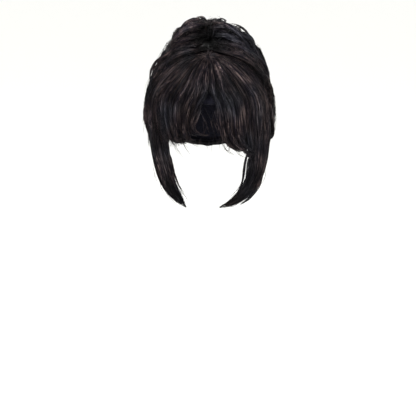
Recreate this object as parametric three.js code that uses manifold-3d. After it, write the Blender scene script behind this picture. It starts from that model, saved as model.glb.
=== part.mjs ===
// A dark updo costume wig, worn on a head: an elastic cap, hair swept up over it into a loose bun
// on the crown, a fringe that fans out from a short parting in two halves, and a long lock in
// front of each ear that curves in towards the chin. Each is one closed solid.
// Millimetres. +Z is up, the face looks along -Y, and the origin is the inside of the cap's crown,
// where the top of the head sits. The turn of a direction is 0 at the face and grows towards +X.
import * as THREE from "three";
import { mergeVertices } from "three/addons/utils/BufferGeometryUtils.js";
import Module from "manifold-3d";

// The head form that the cap stretches over, measured from a centre at its widest level.
const headHalfWidth = 77;
const headFront = 92;
const headBack = 100;
const crownHeight = 92;
const lowerDepth = 150;

// The cap and the gaps between neighbours.
const capWall = 1.6;
const hemWall = 2.6;
const clearance = 0.5;
const facetAllowance = 0.5;

// The hair, as the thickness of each layer over the cap and the sizes of its locks. partRise is the
// parting's rise in degrees, and partGap and curlStart are where the fringe and its curls start, as
// shares of the way from the parting to the cap's edge.
const sweptThickness = 14;
const sweptRidge = 4.5;
const sweptRidges = 22;
const fringeThickness = 9;
const fringeNotch = 9;
const curlWidth = 15;
const curlThickness = 6.5;
const partRise = 56;
const partGap = 0.07;
const curlStart = 0.6;
const sideLockWidth = 35;
const sideLockThickness = 12;
const sideLockDrop = 225;
const sideLockRootDrop = 92;

// The bun: a low dome on the crown. Its locks spring from a hollow in its front and sweep round and
// over it to its foot, which tucks in under it, down to bunFootRise degrees and by bunFootIn of its
// half depth. The hollow's place and half sizes are degrees seen from the bun's centre.
const bunHalfWidth = 64;
const bunHalfDepth = 57;
const bunTop = 36;
const bunCentreDrop = 16;
const bunBack = 13;
const bunLockDepth = 7;
const hollowDepth = 9;
const hollowTurn = 4;
const hollowRise = 20;
const hollowHalfWidth = 16;
const hollowHalfHeight = 26;
const bunFootRise = -62;
const bunFootIn = 0.1;
const loopThickness = 4;
const loopWidth = 13;
const loopStand = 7;

// Facets round and along each kind of surface.
const capAround = 40;
const capAlong = 9;
const cutterAlong = 22;
const pointsPerRidge = 4;
const sweptAlong = 9;
const lockSides = 8;
const fringeSteps = 10;
const curlSteps = 8;
const sideLockSteps = 12;
const pointsPerBunLock = 4;
const bunAlong = 13;
const loopSteps = 10;

// The cap's lower edge, as shares of the crown's height below the crown.
const capEdge = [
  { turn: 0, drop: 0.85 },
  { turn: 36, drop: 0.86 },
  { turn: 58, drop: 1.08 },
  { turn: 72, drop: 1.2 },
  { turn: 88, drop: 1.08 },
  { turn: 112, drop: 1.16 },
  { turn: 145, drop: 1.52 },
  { turn: 180, drop: 1.6 },
];

// The swept hair's lower edge behind the fringe, as the same shares.
const sweptEdge = [
  { turn: 0, drop: 1.4 },
  { turn: 84, drop: 1.47 },
  { turn: 104, drop: 1.5 },
  { turn: 124, drop: 1.4 },
  { turn: 150, drop: 1.6 },
  { turn: 180, drop: 1.66 },
];

// Where the swept hair meets the fringe, in degrees from the bun's axis, by degrees round it.
const sweptFront = [
  { around: 0, reach: 40 },
  { around: 22, reach: 43 },
  { around: 42, reach: 53 },
  { around: 60, reach: 66 },
  { around: 72, reach: 80 },
  { around: 84, reach: 104 },
  { around: 100, reach: 150 },
  { around: 180, reach: 180 },
];

// The swept hair's thickness from the bun, 0, to its edge, 1, at the parting, over each ear and at
// the back, as shares of its full thickness.
const sweptBody = [
  { along: 0, front: 0.4, left: 0.45, back: 0.4, right: 0.45 },
  { along: 0.14, front: 0.4, left: 0.7, back: 0.45, right: 0.55 },
  { along: 0.26, front: 0.45, left: 1.75, back: 0.55, right: 1.15 },
  { along: 0.37, front: 0.5, left: 1.7, back: 0.62, right: 1 },
  { along: 0.5, front: 0.55, left: 0.9, back: 0.68, right: 0.22 },
  { along: 0.58, front: 0.62, left: 0.8, back: 0.7, right: 0.1 },
  { along: 0.72, front: 0.75, left: 0.85, back: 0.7, right: 0.8 },
  { along: 0.92, front: 0.75, left: 1.05, back: 0.6, right: 0.7 },
  { along: 1, front: 0.4, left: 0.7, back: 0.3, right: 0.35 },
];
const sweptSides = ["front", "left", "back", "right", "front"];

// The locks of the fringe's two halves, from the face's middle outwards. over, edge, hang and tip
// are the lock's turn as it leaves the parting, at the cap's edge, half-way down and at its end,
// drop is its end as a share of the crown's height, and lift is how far it stands off the head
// there as a share of its lift over the cap.
const fringeOnTheRight = [
  { over: 8, edge: 12.5, hang: 16, tip: 15, drop: 1.3, lift: 1.1 },
  { over: 22, edge: 24, hang: 24, tip: 19, drop: 1.41, lift: 1.2 },
  { over: 35, edge: 36, hang: 33, tip: 27, drop: 1.43, lift: 1.2 },
  { over: 46, edge: 46, hang: 42, tip: 36, drop: 1.46, lift: 1.2 },
  { over: 56, edge: 56, hang: 53, tip: 47, drop: 1.5, lift: 1.15 },
  { over: 67, edge: 66, hang: 64, tip: 60, drop: 1.52, lift: 1.1 },
  { over: 78, edge: 76, hang: 75, tip: 73, drop: 1.48, lift: 1 },
];
const fringeOnTheLeft = [
  { over: 8, edge: 13, hang: 16, tip: 17, drop: 1.5, lift: 1.1 },
  { over: 22, edge: 25, hang: 26, tip: 28, drop: 1.55, lift: 1.2 },
  { over: 35, edge: 35, hang: 37, tip: 40, drop: 1.58, lift: 1.2 },
  { over: 46, edge: 46, hang: 47, tip: 50, drop: 1.64, lift: 1.15 },
  { over: 56, edge: 56, hang: 57, tip: 60, drop: 1.64, lift: 1.1 },
  { over: 67, edge: 66, hang: 67, tip: 69, drop: 1.58, lift: 1.05 },
  { over: 78, edge: 76, hang: 76, tip: 77, drop: 1.5, lift: 1 },
];

// Curls fused to the halves, in the same columns: on the right one hooks in over the forehead.
const curlsOnTheRight = [
  { over: 13, edge: 14, hang: 16, tip: 4, drop: 1.31, lift: 1.25 },
  { over: 19, edge: 21, hang: 21, tip: 12, drop: 1.39, lift: 1.35 },
];
const curlsOnTheLeft = [
  { over: 14, edge: 16, hang: 17, tip: 21, drop: 1.54, lift: 1.35 },
  { over: 36, edge: 37, hang: 38, tip: 45, drop: 1.68, lift: 1.35 },
];

// The fringe's thickness from the parting, 0, to its tips, 1, and a curl's taper, as shares.
const fringeBody = [
  { along: 0, deep: 0.5 },
  { along: 0.25, deep: 0.9 },
  { along: 0.55, deep: 1 },
  { along: 0.82, deep: 0.8 },
  { along: 1, deep: 0.18 },
];
const curlTaper = [
  { along: 0, wide: 0.5, deep: 0.7 },
  { along: 0.4, wide: 1, deep: 1 },
  { along: 0.75, wide: 0.75, deep: 0.85 },
  { along: 1, wide: 0.12, deep: 0.2 },
];

// The long locks, root to tip: how far down, out and forward, as shares of the lock's run and of
// the head's half width and front, and the lock's width and thickness as shares of their sizes.
const longLockOnTheRight = [
  { down: 0, out: 0.94, front: 0.47, wide: 0.75, deep: 0.6 },
  { down: 0.17, out: 0.965, front: 0.54, wide: 0.9, deep: 0.8 },
  { down: 0.35, out: 0.92, front: 0.63, wide: 0.96, deep: 1 },
  { down: 0.52, out: 0.87, front: 0.675, wide: 0.9, deep: 1 },
  { down: 0.7, out: 0.79, front: 0.73, wide: 0.76, deep: 0.95 },
  { down: 0.84, out: 0.655, front: 0.79, wide: 0.56, deep: 0.8 },
  { down: 0.95, out: 0.49, front: 0.85, wide: 0.3, deep: 0.5 },
  { down: 1, out: 0.41, front: 0.88, wide: 0.06, deep: 0.12 },
];
const longLockOnTheLeft = [
  { down: 0, out: 0.94, front: 0.47, wide: 0.75, deep: 0.6 },
  { down: 0.17, out: 0.965, front: 0.54, wide: 0.93, deep: 0.8 },
  { down: 0.35, out: 0.93, front: 0.61, wide: 0.97, deep: 1 },
  { down: 0.52, out: 0.91, front: 0.65, wide: 0.88, deep: 1 },
  { down: 0.68, out: 0.85, front: 0.7, wide: 0.74, deep: 1 },
  { down: 0.84, out: 0.68, front: 0.77, wide: 0.6, deep: 0.85 },
  { down: 0.95, out: 0.43, front: 0.84, wide: 0.36, deep: 0.5 },
  { down: 1, out: 0.2, front: 0.88, wide: 0.06, deep: 0.12 },
];

// The bun's locks, from straight below the hollow round towards the wearer's left ear and over the
// top: how wide each is beside the others, and how far it stands out as a share of their depth.
const bunLocks = [
  { wide: 0.8, stand: 0.7 },
  { wide: 1.1, stand: 0.9 },
  { wide: 0.9, stand: 1 },
  { wide: 1.2, stand: 0.9 },
  { wide: 1, stand: 1 },
  { wide: 1, stand: 0.8 },
  { wide: 1.1, stand: 0.9 },
  { wide: 1.2, stand: 1 },
  { wide: 0.9, stand: 0.8 },
  { wide: 1.2, stand: 1 },
  { wide: 0.9, stand: 0.9 },
  { wide: 0.7, stand: 0.7 },
];

// Loose loops that stand off the bun: where each leaves the dome, where it comes back to it, and
// how far it stands off between them, as a share of the loops' stand.
const loops = [
  { fromTurn: 300, fromRise: 24, toTurn: 338, toRise: 56, stand: 1 },
  { fromTurn: 318, fromRise: 38, toTurn: 366, toRise: 66, stand: 1 },
  { fromTurn: 6, fromRise: 56, toTurn: 60, toRise: 42, stand: 0.7 },
  { fromTurn: 52, fromRise: 44, toTurn: 84, toRise: 2, stand: 0.8 },
];

const radians = Math.PI / 180;
const meanWave = 2 / Math.PI;
const headCentre = new THREE.Vector3(0, 0, -crownHeight);
const bunCentre = new THREE.Vector3(0, bunBack, -bunCentreDrop);
const hairBase = capWall + clearance;
const wasm = await Module();
wasm.setup();

// A direction from the head's centre, by its turn round from the face and its rise, in degrees.
function toward(turn, rise) {
  const flat = Math.cos(rise * radians);
  return new THREE.Vector3(
    flat * Math.sin(turn * radians),
    -flat * Math.cos(turn * radians),
    Math.sin(rise * radians),
  );
}

// The point over the head form in a direction, lifted off the head.
function skin(direction, lift) {
  const wide = headHalfWidth + lift;
  const deep = (direction.y < 0 ? headFront : headBack) + lift;
  const tall = (direction.z > 0 ? crownHeight : lowerDepth) + lift;
  const reach = 1 / Math.hypot(direction.x / wide, direction.y / deep, direction.z / tall);
  return direction.clone().multiplyScalar(reach).add(headCentre);
}

// The point at a turn and height: on the head form above its widest level, straight down below.
function hang(turn, height, lift) {
  const flat = toward(turn, 0);
  const level = skin(flat, lift).sub(headCentre);
  const above = Math.max(0, height - headCentre.z) / (crownHeight + lift);
  level.multiplyScalar(Math.sqrt(Math.max(0, 1 - above * above)));
  return new THREE.Vector3(level.x, level.y, height);
}

// A share from 0 to 1 that starts and ends gently.
function smooth(share) {
  return share * share * (3 - 2 * share);
}

// A table's column read smoothly between its rows.
function read(rows, key, at, column) {
  let i = 1;
  while (i < rows.length - 1 && rows[i][key] < at) i += 1;
  const low = rows[i - 1];
  const high = rows[i];
  const share = THREE.MathUtils.clamp((at - low[key]) / (high[key] - low[key]), 0, 1);
  return THREE.MathUtils.lerp(low[column], high[column], smooth(share));
}

// A direction part of the way along the great arc between two others.
function arc(from, to, share) {
  const angle = from.angleTo(to);
  if (angle < 1e-6) return from.clone();
  const a = Math.sin((1 - share) * angle) / Math.sin(angle);
  const b = Math.sin(share * angle) / Math.sin(angle);
  return from.clone().multiplyScalar(a).addScaledVector(to, b);
}

// A geometry from points and triangles of their numbers.
function geometryOf(points, triangles) {
  const geometry = new THREE.BufferGeometry();
  geometry.setAttribute(
    "position",
    new THREE.Float32BufferAttribute(points.flatMap((p) => [p.x, p.y, p.z]), 3),
  );
  geometry.setIndex(triangles.flat());
  return geometry;
}

// A closed geometry as a manifold solid, for joins and cuts.
function solidOf(geometry) {
  const merged = mergeVertices(geometry, 1e-4);
  return new wasm.Manifold(
    new wasm.Mesh({
      numProp: 3,
      vertProperties: merged.attributes.position.array,
      triVerts: new Uint32Array(merged.index.array),
    }),
  );
}

// A manifold solid as a geometry for its mesh.
function geometryFrom(solid) {
  const mesh = solid.getMesh();
  const geometry = new THREE.BufferGeometry();
  geometry.setAttribute("position", new THREE.BufferAttribute(mesh.vertProperties, 3));
  geometry.setIndex(new THREE.BufferAttribute(mesh.triVerts, 1));
  return geometry;
}

// What is left of a solid clear of each of the cutters, without the slivers that a cut can leave.
function cutClear(solid, cutters) {
  const bodies = cutters.reduce((left, cutter) => left.subtract(cutter), solid).decompose();
  return bodies.reduce((main, body) => (body.volume() > main.volume() ? body : main));
}

// Rings of points joined into a skin: ring 0 is one pole point, the others go round.
function addCap(points, triangles, around, along, pointAt, outward) {
  const pole = points.length;
  points.push(pointAt(0, 0));
  for (let j = 1; j <= along; j += 1) {
    for (let i = 0; i < around; i += 1) points.push(pointAt(i / around, j / along));
  }
  const at = (i, j) => pole + 1 + (j - 1) * around + (i % around);
  const add = (a, b, c) => triangles.push(outward ? [a, b, c] : [a, c, b]);
  for (let i = 0; i < around; i += 1) {
    add(pole, at(i, 1), at(i + 1, 1));
    for (let j = 1; j < along; j += 1) {
      add(at(i, j), at(i, j + 1), at(i + 1, j + 1));
      add(at(i, j), at(i + 1, j + 1), at(i + 1, j));
    }
  }
  return (i) => at(i, along);
}

// A closed wall between an outer and an inner surface over one polar grid.
function wall(around, along, outerAt, innerAt) {
  const points = [];
  const triangles = [];
  const outerRim = addCap(points, triangles, around, along, outerAt, true);
  const innerRim = addCap(points, triangles, around, along, innerAt, false);
  for (let i = 0; i < around; i += 1) {
    triangles.push([outerRim(i), innerRim(i), innerRim(i + 1)]);
    triangles.push([outerRim(i), innerRim(i + 1), outerRim(i + 1)]);
  }
  return geometryOf(points, triangles);
}

// How far from an axis a meridian over the head form gets before it falls to the given height.
function reachTo(directionAt, heightAt) {
  let low = 5;
  let high = 175;
  for (let k = 0; k < 30; k += 1) {
    const mid = (low + high) / 2;
    const direction = directionAt(mid);
    const turn = Math.abs(Math.atan2(direction.x, -direction.y)) / radians;
    if (skin(direction, 0).z > heightAt(turn)) low = mid;
    else high = mid;
  }
  return low;
}

// The cap, thicker along its hem.
function makeCap() {
  const directionAt = (share, angle) => toward(share * 360, 90 - angle);
  const edgeAt = (share) =>
    reachTo(
      (angle) => directionAt(share, angle),
      (turn) => -crownHeight * read(capEdge, "turn", turn, "drop"),
    );
  const hemShare = 1 - 1 / capAlong;
  const outer = (share, along) => {
    const lift = along > hemShare ? hemWall : capWall;
    return skin(directionAt(share, along * edgeAt(share)), lift);
  };
  const inner = (share, along) => skin(directionAt(share, along * edgeAt(share)), 0);
  return wall(capAround, capAlong, outer, inner);
}

// The room that the head and its cap take, for cutting the hair's underside.
function headRoom(lift) {
  const points = [];
  const triangles = [];
  const pointAt = (share, along) => skin(toward(share * 360, 90 - 179 * along), lift);
  const rim = addCap(points, triangles, capAround, cutterAlong, pointAt, true);
  const foot = points.length;
  points.push(skin(toward(0, -90), lift));
  for (let i = 0; i < capAround; i += 1) triangles.push([rim(i), foot, rim(i + 1)]);
  return solidOf(geometryOf(points, triangles));
}

// The ridges' edges round an axis, as shares of the whole turn, each ridge of its own width.
function ridgeEdges(widths) {
  const whole = widths.reduce((sum, width) => sum + width, 0);
  const edges = [0];
  for (const width of widths) edges.push(edges[edges.length - 1] + width / whole);
  return edges;
}

// The hair swept up from the ears and nape to the bun, in ridges that run up to it.
function makeSwept(grow) {
  const tilt = Math.atan2(bunBack, crownHeight);
  const axis = new THREE.Vector3(0, Math.sin(tilt), Math.cos(tilt));
  const front = new THREE.Vector3(0, -Math.cos(tilt), Math.sin(tilt));
  const widths = Array.from({ length: sweptRidges }, (_, i) => 1 + 0.35 * Math.sin(2.4 * i));
  const edges = ridgeEdges(widths);
  const columns = sweptRidges * pointsPerRidge;
  const roundAt = (share) => {
    const ridge = Math.floor(share * sweptRidges + 1e-9) % sweptRidges;
    const inside = share * sweptRidges - Math.floor(share * sweptRidges + 1e-9);
    return THREE.MathUtils.lerp(edges[ridge], edges[ridge + 1], inside);
  };
  const directionAt = (share, angle) => {
    const round = roundAt(share) * 2 * Math.PI;
    return axis
      .clone()
      .multiplyScalar(Math.cos(angle * radians))
      .addScaledVector(front, Math.sin(angle * radians) * Math.cos(round))
      .add(new THREE.Vector3(Math.sin(angle * radians) * Math.sin(round), 0, 0));
  };
  const fromFront = (share) => 360 * Math.min(roundAt(share), 1 - roundAt(share));
  const edgeAt = (share) => {
    const free = reachTo(
      (angle) => directionAt(share, angle),
      (turn) => -crownHeight * read(sweptEdge, "turn", turn, "drop"),
    );
    return Math.min(free, read(sweptFront, "around", fromFront(share), "reach"));
  };
  const thicknessAt = (share, along) => {
    const quarter = Math.min(3, Math.floor(4 * roundAt(share)));
    const from = read(sweptBody, "along", along, sweptSides[quarter]);
    const to = read(sweptBody, "along", along, sweptSides[quarter + 1]);
    const body = THREE.MathUtils.lerp(from, to, smooth(4 * roundAt(share) - quarter));
    const wave = Math.abs(Math.sin(share * sweptRidges * Math.PI)) - meanWave;
    const ridge = Math.floor(share * sweptRidges + 1e-9);
    const own = 0.7 + 0.3 * Math.sin(ridge * 3.7 + along * 7);
    const free = THREE.MathUtils.smoothstep(along, 0.15, 0.4);
    return sweptThickness * body + sweptRidge * own * free * wave;
  };
  const base = hairBase + facetAllowance;
  const outer = (share, along) =>
    skin(directionAt(share, along * edgeAt(share)), base + thicknessAt(share, along) + grow);
  const inner = (share, along) => {
    const open = THREE.MathUtils.smoothstep(along, 0.3, 0.6) * (hemWall - capWall);
    return skin(directionAt(share, along * edgeAt(share)), base + open - grow);
  };
  return wall(columns, sweptAlong, outer, inner);
}

// A tapering lock along a path, flattened so that its broad side faces away from a middle point.
function lock(path, steps, sizeAt, middle) {
  const curve = new THREE.CatmullRomCurve3(path, false, "centripetal");
  const points = [];
  const triangles = [];
  for (let k = 0; k <= steps; k += 1) {
    const share = k / steps;
    const place = curve.getPointAt(share);
    const along = curve.getTangentAt(share);
    const out = place.clone().sub(middle);
    out.addScaledVector(along, -out.dot(along)).normalize();
    const across = along.clone().cross(out);
    const { width, thickness } = sizeAt(share);
    for (let c = 0; c < lockSides; c += 1) {
      const angle = (c / lockSides) * 2 * Math.PI;
      points.push(
        place
          .clone()
          .addScaledVector(across, (width / 2) * Math.cos(angle))
          .addScaledVector(out, (thickness / 2) * Math.sin(angle)),
      );
    }
  }
  const at = (k, c) => k * lockSides + (c % lockSides);
  for (let k = 0; k < steps; k += 1) {
    for (let c = 0; c < lockSides; c += 1) {
      triangles.push([at(k, c), at(k + 1, c + 1), at(k, c + 1)]);
      triangles.push([at(k, c), at(k + 1, c), at(k + 1, c + 1)]);
    }
  }
  for (let c = 1; c < lockSides - 1; c += 1) {
    triangles.push([at(0, 0), at(0, c), at(0, c + 1)]);
    triangles.push([at(steps, 0), at(steps, c + 1), at(steps, c)]);
  }
  return solidOf(geometryOf(points, triangles));
}

// The path of a fringe lock: over the head from a share of the way down from the parting, to the
// cap's edge, then hanging free to its tip.
function fringePath(row, side, from) {
  const root = toward(0, partRise);
  const browHeight = -crownHeight * read(capEdge, "turn", 0, "drop");
  const tipHeight = -row.drop * crownHeight;
  const over = hemWall + clearance + facetAllowance + fringeThickness / 2;
  const aim = hang(side * row.over, browHeight, over).sub(headCentre).normalize();
  const starts = [0, 0.35, 0.75].map((share) => THREE.MathUtils.lerp(from, 1, share));
  return [
    ...starts.map((share) => skin(arc(root, aim, share), over)),
    hang(side * row.edge, browHeight, over),
    hang(side * row.hang, (browHeight + tipHeight) / 2, over * row.lift),
    hang(side * row.tip, tipHeight, over * row.lift),
  ];
}

// A fringe half as one sheet: a column of points down each crest, flank and valley of its locks.
function fringeSheet(rows, side) {
  const last = rows.length * pointsPerRidge;
  const columnAt = (c) => {
    const place = c / pointsPerRidge - 0.5;
    const low = THREE.MathUtils.clamp(Math.floor(place), 0, rows.length - 2);
    const between = place - low;
    const row = {};
    for (const key of Object.keys(rows[0])) {
      row[key] = THREE.MathUtils.lerp(rows[low][key], rows[low + 1][key], between);
    }
    const crest = Math.abs(Math.sin((c / pointsPerRidge) * Math.PI));
    row.drop -= (fringeNotch / crownHeight) * (1 - crest);
    const path = fringePath(row, side, partGap);
    return { crest, curve: new THREE.CatmullRomCurve3(path, false, "centripetal") };
  };
  const points = [];
  for (let c = 0; c <= last; c += 1) {
    const { crest, curve } = columnAt(c);
    for (let k = 0; k <= fringeSteps; k += 1) {
      const share = k / fringeSteps;
      const place = curve.getPointAt(share);
      const along = curve.getTangentAt(share);
      const out = place.clone().sub(headCentre);
      out.addScaledVector(along, -out.dot(along)).normalize();
      const half = (fringeThickness / 2) * read(fringeBody, "along", share, "deep");
      points.push(place.clone().addScaledVector(out, half * (0.3 + 0.7 * crest)));
      points.push(place.clone().addScaledVector(out, -half));
    }
  }
  const at = (c, k, face) => 2 * (c * (fringeSteps + 1) + k) + face;
  const triangles = [];
  const quad = (p, q, r, s) => triangles.push([p, q, r], [p, r, s]);
  for (let c = 0; c < last; c += 1) {
    for (let k = 0; k < fringeSteps; k += 1) {
      quad(at(c, k, 0), at(c, k + 1, 0), at(c + 1, k + 1, 0), at(c + 1, k, 0));
      quad(at(c, k, 1), at(c + 1, k, 1), at(c + 1, k + 1, 1), at(c, k + 1, 1));
    }
    quad(at(c, 0, 0), at(c + 1, 0, 0), at(c + 1, 0, 1), at(c, 0, 1));
    const tip = [at(c, fringeSteps, 0), at(c, fringeSteps, 1)];
    quad(...tip, at(c + 1, fringeSteps, 1), at(c + 1, fringeSteps, 0));
  }
  for (let k = 0; k < fringeSteps; k += 1) {
    quad(at(0, k, 0), at(0, k, 1), at(0, k + 1, 1), at(0, k + 1, 0));
    quad(at(last, k, 0), at(last, k + 1, 0), at(last, k + 1, 1), at(last, k, 1));
  }
  const turned = side < 0 ? triangles.map(([p, q, r]) => [p, r, q]) : triangles;
  return solidOf(geometryOf(points, turned));
}

// A curl of the fringe, from inside the sheet to its own tip.
function fringeCurl(row, side) {
  const sizeAt = (share) => ({
    width: curlWidth * read(curlTaper, "along", share, "wide"),
    thickness: curlThickness * read(curlTaper, "along", share, "deep"),
  });
  return lock(fringePath(row, side, curlStart), curlSteps, sizeAt, headCentre);
}

// A long lock in front of an ear. grow widens it all round, for cutting a neighbour clear of it.
function longLock(rows, side, grow) {
  const run = sideLockDrop - sideLockRootDrop;
  const path = rows.map(
    (row) =>
      new THREE.Vector3(
        side * headHalfWidth * row.out,
        -headFront * row.front,
        -sideLockRootDrop - run * row.down,
      ),
  );
  const curve = new THREE.CatmullRomCurve3(path, false, "centripetal");
  const sizeAt = (share) => {
    const down = (-curve.getPointAt(share).z - sideLockRootDrop) / run;
    return {
      width: sideLockWidth * read(rows, "down", down, "wide") + 2 * grow,
      thickness: sideLockThickness * read(rows, "down", down, "deep") + 2 * grow,
    };
  };
  const middle = new THREE.Vector3(0, headBack / 3, -(sideLockDrop + sideLockRootDrop) / 2);
  return lock(path, sideLockSteps, sizeAt, middle);
}

// A fringe half with its curls, cut clear of its neighbours.
function makeFringe(rows, curls, side, cutters) {
  let solid = fringeSheet(rows, side);
  for (const row of curls) solid = solid.add(fringeCurl(row, side));
  return cutClear(solid, cutters);
}

// The point on the bun's dome in a direction from the bun's own centre.
function dome(direction, lift) {
  return new THREE.Vector3(
    direction.x * (bunHalfWidth + lift),
    direction.y * (bunHalfDepth + lift),
    direction.z * (bunTop + bunCentreDrop + lift),
  ).add(bunCentre);
}

// A loop that springs off the dome and comes back into it.
function bunLoop(row) {
  const stand = loopStand * row.stand;
  const at = (share, lift) =>
    dome(
      toward(
        THREE.MathUtils.lerp(row.fromTurn, row.toTurn, share),
        THREE.MathUtils.lerp(row.fromRise, row.toRise, share),
      ),
      lift,
    );
  const path = [
    at(0, -bunLockDepth),
    at(0.15, stand * 0.4),
    at(0.5, stand),
    at(0.85, stand * 0.4),
    at(1, -bunLockDepth),
  ];
  const sizeAt = (share) => ({
    width: loopWidth * (0.6 + 0.4 * Math.sin(Math.PI * share)),
    thickness: loopThickness,
  });
  return lock(path, loopSteps, sizeAt, bunCentre);
}

// The way that a lock takes over the bun: from the hollow, at an angle round it that is 0 straight
// down, to the foot at the same turn round the bun.
function bunWay(round) {
  const hollow = toward(hollowTurn, hollowRise);
  const down = toward(hollowTurn, hollowRise - 90);
  const aside = toward(hollowTurn + 90, 0);
  const share = (1 - Math.cos(round * radians)) / 2;
  const whole = THREE.MathUtils.lerp(hollowRise, 180 - hollowRise, share) - bunFootRise;
  const over = (angle) =>
    hollow
      .clone()
      .multiplyScalar(Math.cos(angle * radians))
      .addScaledVector(down, Math.sin(angle * radians) * Math.cos(round * radians))
      .addScaledVector(aside, Math.sin(angle * radians) * Math.sin(round * radians));
  const path = [hollow, over(whole / 3), over((whole * 2) / 3), toward(round, bunFootRise)];
  return new THREE.CatmullRomCurve3(path, false, "centripetal");
}

// The bun: a dome in locks that sweep over it from its hollow, with its loops, cut to sit on the
// swept hair.
function makeBun(cutters) {
  const hollow = toward(hollowTurn, hollowRise);
  const edges = ridgeEdges(bunLocks.map((row) => row.wide));
  const ways = new Map();
  const pointAt = (share, along) => {
    const place = share * bunLocks.length;
    const index = Math.min(bunLocks.length - 1, Math.floor(place + 1e-9));
    const round = 360 * THREE.MathUtils.lerp(edges[index], edges[index + 1], place - index);
    if (!ways.has(share)) ways.set(share, bunWay(round));
    const direction = ways.get(share).getPointAt(along * (0.6 + 0.4 * along)).normalize();
    const away = hollow.angleTo(direction) / radians;
    const rise = Math.asin(direction.z) / radians;
    const tall = Math.abs(Math.cos(round * radians));
    const edge = THREE.MathUtils.lerp(hollowHalfWidth, hollowHalfHeight, tall);
    const free = THREE.MathUtils.smoothstep(away, edge / 2, edge * 1.5);
    const wave = Math.abs(Math.sin(Math.PI * place)) - 1;
    const groove = bunLockDepth * bunLocks[index].stand * free * (1 - 0.5 * smooth(along)) * wave;
    const hole = hollowDepth * (1 - THREE.MathUtils.smoothstep(away, 0, edge));
    const inward = (bunHalfDepth * bunFootIn * (90 - rise)) / (90 - bunFootRise);
    return dome(direction, groove - hole - inward);
  };
  const points = [];
  const triangles = [];
  const columns = bunLocks.length * pointsPerBunLock;
  const rim = addCap(points, triangles, columns, bunAlong, pointAt, true);
  const foot = points.length;
  points.push(dome(toward(0, -90), -bunLockDepth));
  for (let i = 0; i < columns; i += 1) triangles.push([rim(i), foot, rim(i + 1)]);
  let solid = solidOf(geometryOf(points, triangles));
  for (const row of loops) solid = solid.add(bunLoop(row));
  return cutClear(solid, cutters);
}

function material(colour, roughness) {
  return new THREE.MeshStandardMaterial({ color: colour, roughness, metalness: 0 });
}
const fibre = material(0x241f20, 0.45);
const net = material(0x14141c, 0.85);

const group = new THREE.Group();
function place(name, geometry, look) {
  const mesh = new THREE.Mesh(geometry, look);
  mesh.name = name;
  group.add(mesh);
}

const headCutter = headRoom(hemWall + clearance);
const sweptCutter = solidOf(makeSwept(clearance));
const hairCutters = [headCutter, sweptCutter];

place("wig_cap", makeCap(), net);
place("swept_hair", makeSwept(0), fibre);
for (const [name, side, rows, curls, longRows] of [
  ["right", -1, fringeOnTheRight, curlsOnTheRight, longLockOnTheRight],
  ["left", 1, fringeOnTheLeft, curlsOnTheLeft, longLockOnTheLeft],
]) {
  const fringe = makeFringe(rows, curls, side, [sweptCutter, longLock(longRows, side, clearance)]);
  place("fringe_" + name, geometryFrom(fringe), fibre);
  place("long_lock_" + name, geometryFrom(cutClear(longLock(longRows, side, 0), hairCutters)), fibre);
}
place("bun", geometryFrom(makeBun(hairCutters)), fibre);

export default group;
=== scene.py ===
# The look of a dark updo costume wig: a net cap and six masses of hair, each a streaked body under
# thousands of strands that follow it from root to tip.
# Metres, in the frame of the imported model: +Z is up and the face looks along -Y. The turn of a
# direction is 0 at the face and grows towards +X, and its rise is 0 at the level.
import math

import bpy
import numpy as np
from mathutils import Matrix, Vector
from mathutils.bvhtree import BVHTree


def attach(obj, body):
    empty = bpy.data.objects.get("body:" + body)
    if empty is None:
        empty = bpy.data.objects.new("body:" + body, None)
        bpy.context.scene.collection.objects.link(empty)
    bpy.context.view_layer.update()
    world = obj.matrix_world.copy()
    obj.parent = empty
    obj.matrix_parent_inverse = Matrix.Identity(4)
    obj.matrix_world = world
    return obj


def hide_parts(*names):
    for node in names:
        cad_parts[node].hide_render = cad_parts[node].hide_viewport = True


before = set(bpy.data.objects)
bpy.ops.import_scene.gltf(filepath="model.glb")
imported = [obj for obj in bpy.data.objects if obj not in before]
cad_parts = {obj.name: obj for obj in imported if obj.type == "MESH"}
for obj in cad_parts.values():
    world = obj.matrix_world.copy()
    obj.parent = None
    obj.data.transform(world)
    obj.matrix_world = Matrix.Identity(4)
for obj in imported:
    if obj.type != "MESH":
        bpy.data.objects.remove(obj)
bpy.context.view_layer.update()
random = np.random.default_rng(7)
MM = 0.001

# Broad waves that make the hair lighter and darker from place to place.
PATCH_LENGTH = 70 * MM
PATCH_WAVES = random.normal(0, 2 * math.pi / PATCH_LENGTH, (7, 3))
PATCH_PHASES = random.uniform(0, 2 * math.pi, 7)

# The camera looks straight at the face from a little above, as the photograph does.
SIGHT_DROP = math.radians(6)
SIGHT_UP = np.array([0, math.sin(SIGHT_DROP), math.cos(SIGHT_DROP)])
SIGHT_BACK = np.array([0, -math.cos(SIGHT_DROP), math.sin(SIGHT_DROP)])
CAMERA_AIM = (-0.0007, 0, -0.2345)
CAMERA_AWAY = 8
LENS = 484.2
SENSOR = 36

# How far off a line of sight starts, and how far it may fall back from one point of a lock to the
# next before it is taken to miss.
SIGHT_REACH = 0.4
DEPTH_STEP = 25 * MM

# The head form and the layers over it, as the solids have them.
HEAD_HALF_WIDTH = 77 * MM
HEAD_FRONT = 92 * MM
HEAD_BACK = 100 * MM
CROWN = 92 * MM
LOWER_DEPTH = 150 * MM
HEAD_CENTRE = np.array([0, 0, -CROWN])
CAP_WALL = 1.6 * MM
HEM_WALL = 2.6 * MM
FRINGE_THICKNESS = 9 * MM
FRINGE_STAND = HEM_WALL + 1 * MM + FRINGE_THICKNESS / 2
BROW = -CROWN * 0.85
LOCK_ROOT = 92 * MM
LOCK_END = 225 * MM
LOCK_WIDTH = 35 * MM
LOCK_THICKNESS = 12 * MM

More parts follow.
